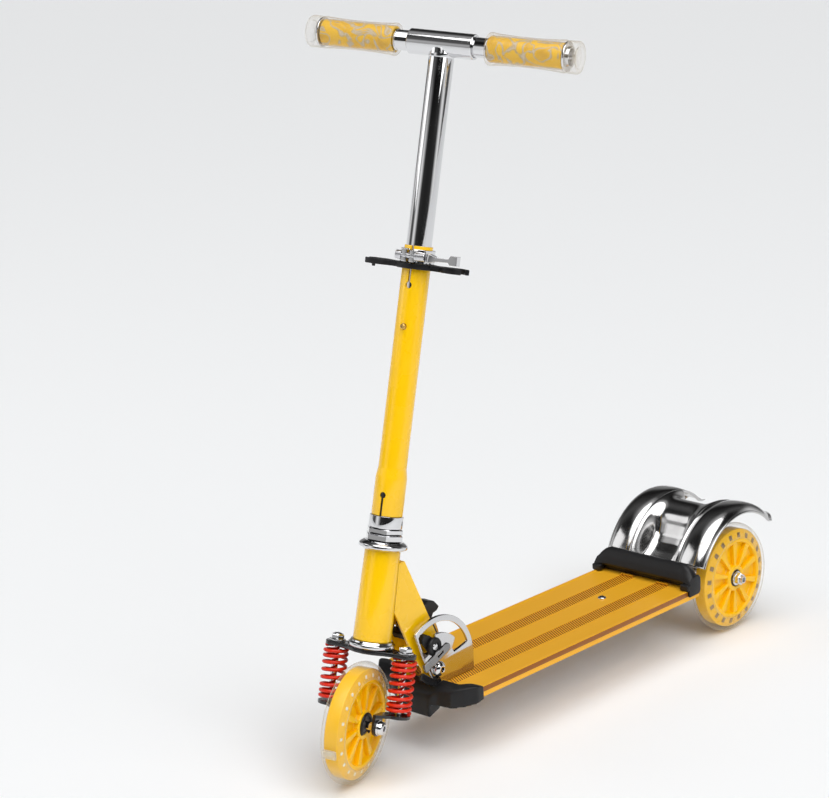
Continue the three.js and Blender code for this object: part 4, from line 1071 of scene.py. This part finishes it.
def deck_screw():
    """A cross-headed screw, its cross recess drawn as black bars: painted shade."""
    place = FIT @ at(0, DECK_SCREW_Y, 0)
    head = turned_solid([(0, DECK_TOP + 0.1), (4.6, DECK_TOP + 0.1), (4.3, DECK_TOP + 1.2),
                         (2.4, DECK_TOP + 2.1), (0, DECK_TOP + 2.3)], 0.4, 3, 48)
    # Black bars on the head stand for the cross recess: painted shade.
    bars = [shaped(softened_box((-2.2, -0.35, DECK_TOP + 1.9), (2.2, 0.35, DECK_TOP + 2.45), 0.1),
                   Matrix.Rotation(turn, 4, "Z")) for turn in (0.4, 0.4 + math.pi / 2)]
    stand_in("deck_screw", head, CHROME, "deck", place)
    piece("deck_screw_cross_shade", joined(bars), BLACK, "deck", matrix=place)


deck_screw()
keep("deck_frame", ALUMINIUM, 0.6, 2)
melt("front_cap", BLACK)


def cap_bar():
    """The rear cap's bar across the deck, drawn as a section that sinks towards both ends."""
    low = DECK_TOP + 0.9
    section = rounded([(455.5, DECK_TOP + 9.5), (458, DECK_TOP + 17), (462.5, 96.6), (467.5, 98), (471.6, 95),
                       (473.8, 88), (473.8, low), (462, low), (461.5, DECK_TOP + 6.5), (457, DECK_TOP + 7)],
                      2.2, 4)
    build = bmesh.new()
    rings = []
    for station in range(-68, 69, 2):
        x = station * 0.94
        near_end = max(0.0, (abs(x) - CAP_BEND) / 18)
        sink = CAP_SINK * near_end ** 2.4
        ring = [(x, y - 1.5 * near_end, z - sink * max(0.0, (z - DECK_TOP) / CAP_HEIGHT)) for y, z in section]
        rings.append([build.verts.new(point) for point in ring])
    bridge(build, rings)
    for ring in (rings[0], rings[-1]):
        build.faces.new(ring)
    return faced(mesh_of(build, "rear_cap"))


def rear_cap():
    """The rear cap: its bar, an end cheek and a small foot on each side, and gold teeth below it."""
    cheek_rim = rounded([(453.5, 66.2), (471, 66.2), (474, 69), (474, 84), (470, 88), (460, 86), (454.5, 80)],
                        2, 4)
    ends = [shaped(plate([cheek_rim], low, low + 2.3, 0.9, 3), SIDEWAYS) for low in (61.8, -64.1)]
    for low, high in ((53, 64), (-64, -53)):
        ends.append(softened_box((low, 451, DECK_TOP + 0.9), (high, 459, DECK_TOP + 7.5), 1.4, 4))
    stand_in("rear_cap", joined([cap_bar(), *ends]), BLACK, "deck", FIT, angle=50)
    teeth = [softened_box((x, 457.2, DECK_TOP + 0.1), (x + 1.0, 459.4, DECK_TOP + 1.9), 0.3)
             for low, high in RIBBED for x in range(low, high - 1, 2)]
    piece("rear_cap_teeth", joined(teeth), GOLD, "deck", matrix=FIT, angle=20)


rear_cap()

# ---- fender
LOBE_START = 156.0
LOBE_END = 50.0
FENDER_STEPS = 96
TIP_START = 0.93  # the share of a lobe's length where its tip begins
SADDLE_SHARE = 0.7  # the saddle ends at this share of the lobe's length
SADDLE_HALF = 16.5  # the saddle is flat as far as this
BLEND_WIDTH = 14.5
TIP_TAPER = 0.66
LOBE_X = 47
LOBE_INNER = 30.6
OUTER_FLANGE = 7.5
INNER_FLANGE = 4.6
SHEET = 1.6


def polyline_at(points, share):
    """A point at a share of a polyline's length."""
    lengths = [math.dist(a, b) for a, b in zip(points, points[1:])]
    left = share * sum(lengths)
    for (a, b), length in zip(zip(points, points[1:]), lengths):
        if left <= length:
            t = left / length if length else 0
            return (a[0] + (b[0] - a[0]) * t, a[1] + (b[1] - a[1]) * t)
        left -= length
    return points[-1]


def fender_point(x, lobe_point, saddle_point, t):
    """A point of the fender between the saddle's line and the lobe's, with the lobe's flanges rolled down."""
    reach = abs(x)
    blend = min(1.0, max(0.0, (reach - SADDLE_HALF) / BLEND_WIDTH))
    blend = blend * blend * (3 - 2 * blend)
    y = saddle_point[0] + (lobe_point[0] - saddle_point[0]) * blend
    z = saddle_point[1] + (lobe_point[1] - saddle_point[1]) * blend
    if reach <= LOBE_INNER:
        return (x, y, z)
    outward = Vector((lobe_point[0] - WHEELBASE, lobe_point[1] - AXLE_HEIGHT)).normalized()
    curl = abs(reach - LOBE_X) / (LOBE_X - LOBE_INNER)
    depth = OUTER_FLANGE if reach > LOBE_X else INNER_FLANGE
    drop = depth * curl ** 5 - 0.6 * (1 - curl ** 2)
    narrow = 1.0
    if t > TIP_START:
        narrow = math.sqrt(1 - TIP_TAPER * ((t - TIP_START) / (1 - TIP_START)) ** 4)
    return (math.copysign(LOBE_X + (reach - LOBE_X) * narrow, x), y - outward.x * drop, z - outward.y * drop)


def fender():
    """The pressed chrome mudguard: two lobes, a rolled saddle between them and side walls."""
    lobe = (arc((WHEELBASE, AXLE_HEIGHT), 81.6, LOBE_START, LOBE_END, 60)
            + [(606, 118.6), (612, 116.6), (617, 115.4)])
    saddle = ([(478, 80), (488, 86), (497, 92), (504.5, 99), (510.5, 107)]
              + arc((539.0, 114.0), 24.0, 168, -8, 40))
    across = [-63.4, -62.6, -60.5, -56, -50, -44, -38, -34.5, -32, -LOBE_INNER, -29, -27, -24.5, -22, -19,
              -14, -7, 0]
    across = across + [-x for x in reversed(across[:-1])]
    build = bmesh.new()
    grid = []
    for row in range(FENDER_STEPS + 1):
        t = row / FENDER_STEPS
        lobe_point = polyline_at(lobe, t)
        saddle_point = polyline_at(saddle, min(1.0, t / SADDLE_SHARE))
        grid.append([build.verts.new(fender_point(x, lobe_point, saddle_point, t)) for x in across])
    for row in range(FENDER_STEPS):
        for k in range(len(across) - 1):
            inner = max(abs(across[k]), abs(across[k + 1])) <= LOBE_INNER
            if inner and row >= int(FENDER_STEPS * SADDLE_SHARE):
                continue
            build.faces.new((grid[row][k], grid[row][k + 1], grid[row + 1][k + 1], grid[row + 1][k]))
    loose = [v for v in build.verts if not v.link_faces]
    bmesh.ops.delete(build, geom=loose, context="VERTS")
    edges = [[tuple(line[k].co) for line in grid] for k in (0, len(across) - 1)]
    mesh = mesh_of(build, "fender")
    beads = joined([rod(edge, 1.25, resolution=4) for edge in edges])
    piece("fender_beads", beads, PRESSED_CHROME, "brake", matrix=FIT, angle=60)
    thing = stand_in("fender_brake", mesh, PRESSED_CHROME, "brake", FIT, angle=60)
    thick = thing.modifiers.new("thickness", "SOLIDIFY")
    thick.thickness = SHEET * MM
    thick.offset = 0
    finer = thing.modifiers.new("finer", "SUBSURF")
    finer.levels = 1
    finer.render_levels = 1


fender()

# ---- stage
FLOOR_SIZE = 40.0
SUN_STRENGTH = 2.55
SUN_ANGLE = math.radians(70)
SOFTBOX_SIZE = 1.6
LIGHT_TARGET = Vector((0, 0, 0.3))
MIX_FIRST, MIX_SECOND, MIX_RESULT = 6, 7, 2  # a mix node's sockets for colours
PANEL_DIRECTION = (0.66, -0.75, 0.0)
# Each pair is a place between -1 and 1, written as 0 to 1, and the grey there.
PANELS = [(0.0, 0.3), (0.1, 0.1), (0.2, 0.5), (0.27, 0.9), (0.34, 0.6), (0.42, 0.1), (0.58, 0.08),
          (0.66, 0.7), (0.74, 0.95), (0.81, 0.5), (0.88, 0.04), (1.0, 0.02)]
PANEL_TOPS = [(0.0, 1.0), (0.64, 1.0), (0.74, 0.12), (1.0, 0.08)]
CEILING = [(0.0, 0.0), (0.92, 0.0), (0.98, 0.5), (1.0, 0.7)]


def floor():
    mesh = bpy.data.meshes.new("floor")
    half = FLOOR_SIZE / 2
    corners = [(-half, -half, 0), (half, -half, 0), (half, half, 0), (-half, half, 0)]
    mesh.from_pydata(corners, [], [(0, 1, 2, 3)])
    pale = Look("floor", (0.93, 0.94, 0.95), 0.6)
    mesh.materials.append(pale.material)
    thing = added("floor", mesh)


def aimed(thing, direction):
    """Turns a light so that it shines along a direction."""
    thing.rotation_euler = Vector(direction).to_track_quat("-Z", "Y").to_euler()


def softbox(name, place, watts):
    """A square light that faces the scooter."""
    data = bpy.data.lights.new(name, "AREA")
    data.shape = "RECTANGLE"
    data.size = data.size_y = SOFTBOX_SIZE
    data.energy = watts
    light = added(name, data)
    light.location = place
    aimed(light, LIGHT_TARGET - Vector(place))


def shaded(tree, value, stops):
    """A grey ramp over a value from -1 to 1."""
    remap = new_node(tree, "MapRange", From_Min=-1, From_Max=1)
    tree.links.new(value, remap.inputs["Value"])
    return new_ramp(tree, remap.outputs["Result"], [(position, (shade,) * 3) for position, shade in stops])


def along_direction(tree, place, direction):
    """How far the view points along a direction, from -1 to 1."""
    facing = new_node(tree, "VectorMath")
    facing.operation = "DOT_PRODUCT"
    facing.inputs[1].default_value = direction
    tree.links.new(place, facing.inputs[0])
    return facing.outputs["Value"]


def mixed(tree, kind, first, second):
    """Two colours blended in full."""
    mix = tree.nodes.new("ShaderNodeMix")
    mix.data_type = "RGBA"
    mix.blend_type = kind
    mix.inputs["Factor"].default_value = 1
    tree.links.new(first, mix.inputs[MIX_FIRST])
    tree.links.new(second, mix.inputs[MIX_SECOND])
    return mix.outputs[MIX_RESULT]


def studio():
    """A dim room with tall bright panels and a bright ceiling, which the chrome picks up as bands."""
    world = bpy.data.worlds.new("studio")
    bpy.context.scene.world = world
    world.use_nodes = True
    tree = world.node_tree
    background = tree.nodes["Background"]
    place = new_node(tree, "TexCoord").outputs["Generated"]
    height = along_direction(tree, place, (0.0, 0.0, 1.0))
    around = along_direction(tree, place, PANEL_DIRECTION)
    panels = mixed(tree, "MULTIPLY", shaded(tree, around, PANELS), shaded(tree, height, PANEL_TOPS))
    room = mixed(tree, "LIGHTEN", panels, shaded(tree, height, CEILING))
    tree.links.new(room, background.inputs["Color"])
    background.inputs["Strength"].default_value = 1.0


def lights():
    """Two softboxes and a broad sun."""
    softbox("key", (2.6, -0.6, 2.4), 22)
    softbox("fill", (-2.4, -2.0, 1.8), 12)
    data = bpy.data.lights.new("daylight", "SUN")
    data.energy = SUN_STRENGTH
    data.angle = SUN_ANGLE
    aimed(added("daylight", data), (-0.35, 0.3, -1.0))


floor()
studio()
lights()
bpy.context.scene.view_settings.view_transform = "Standard"
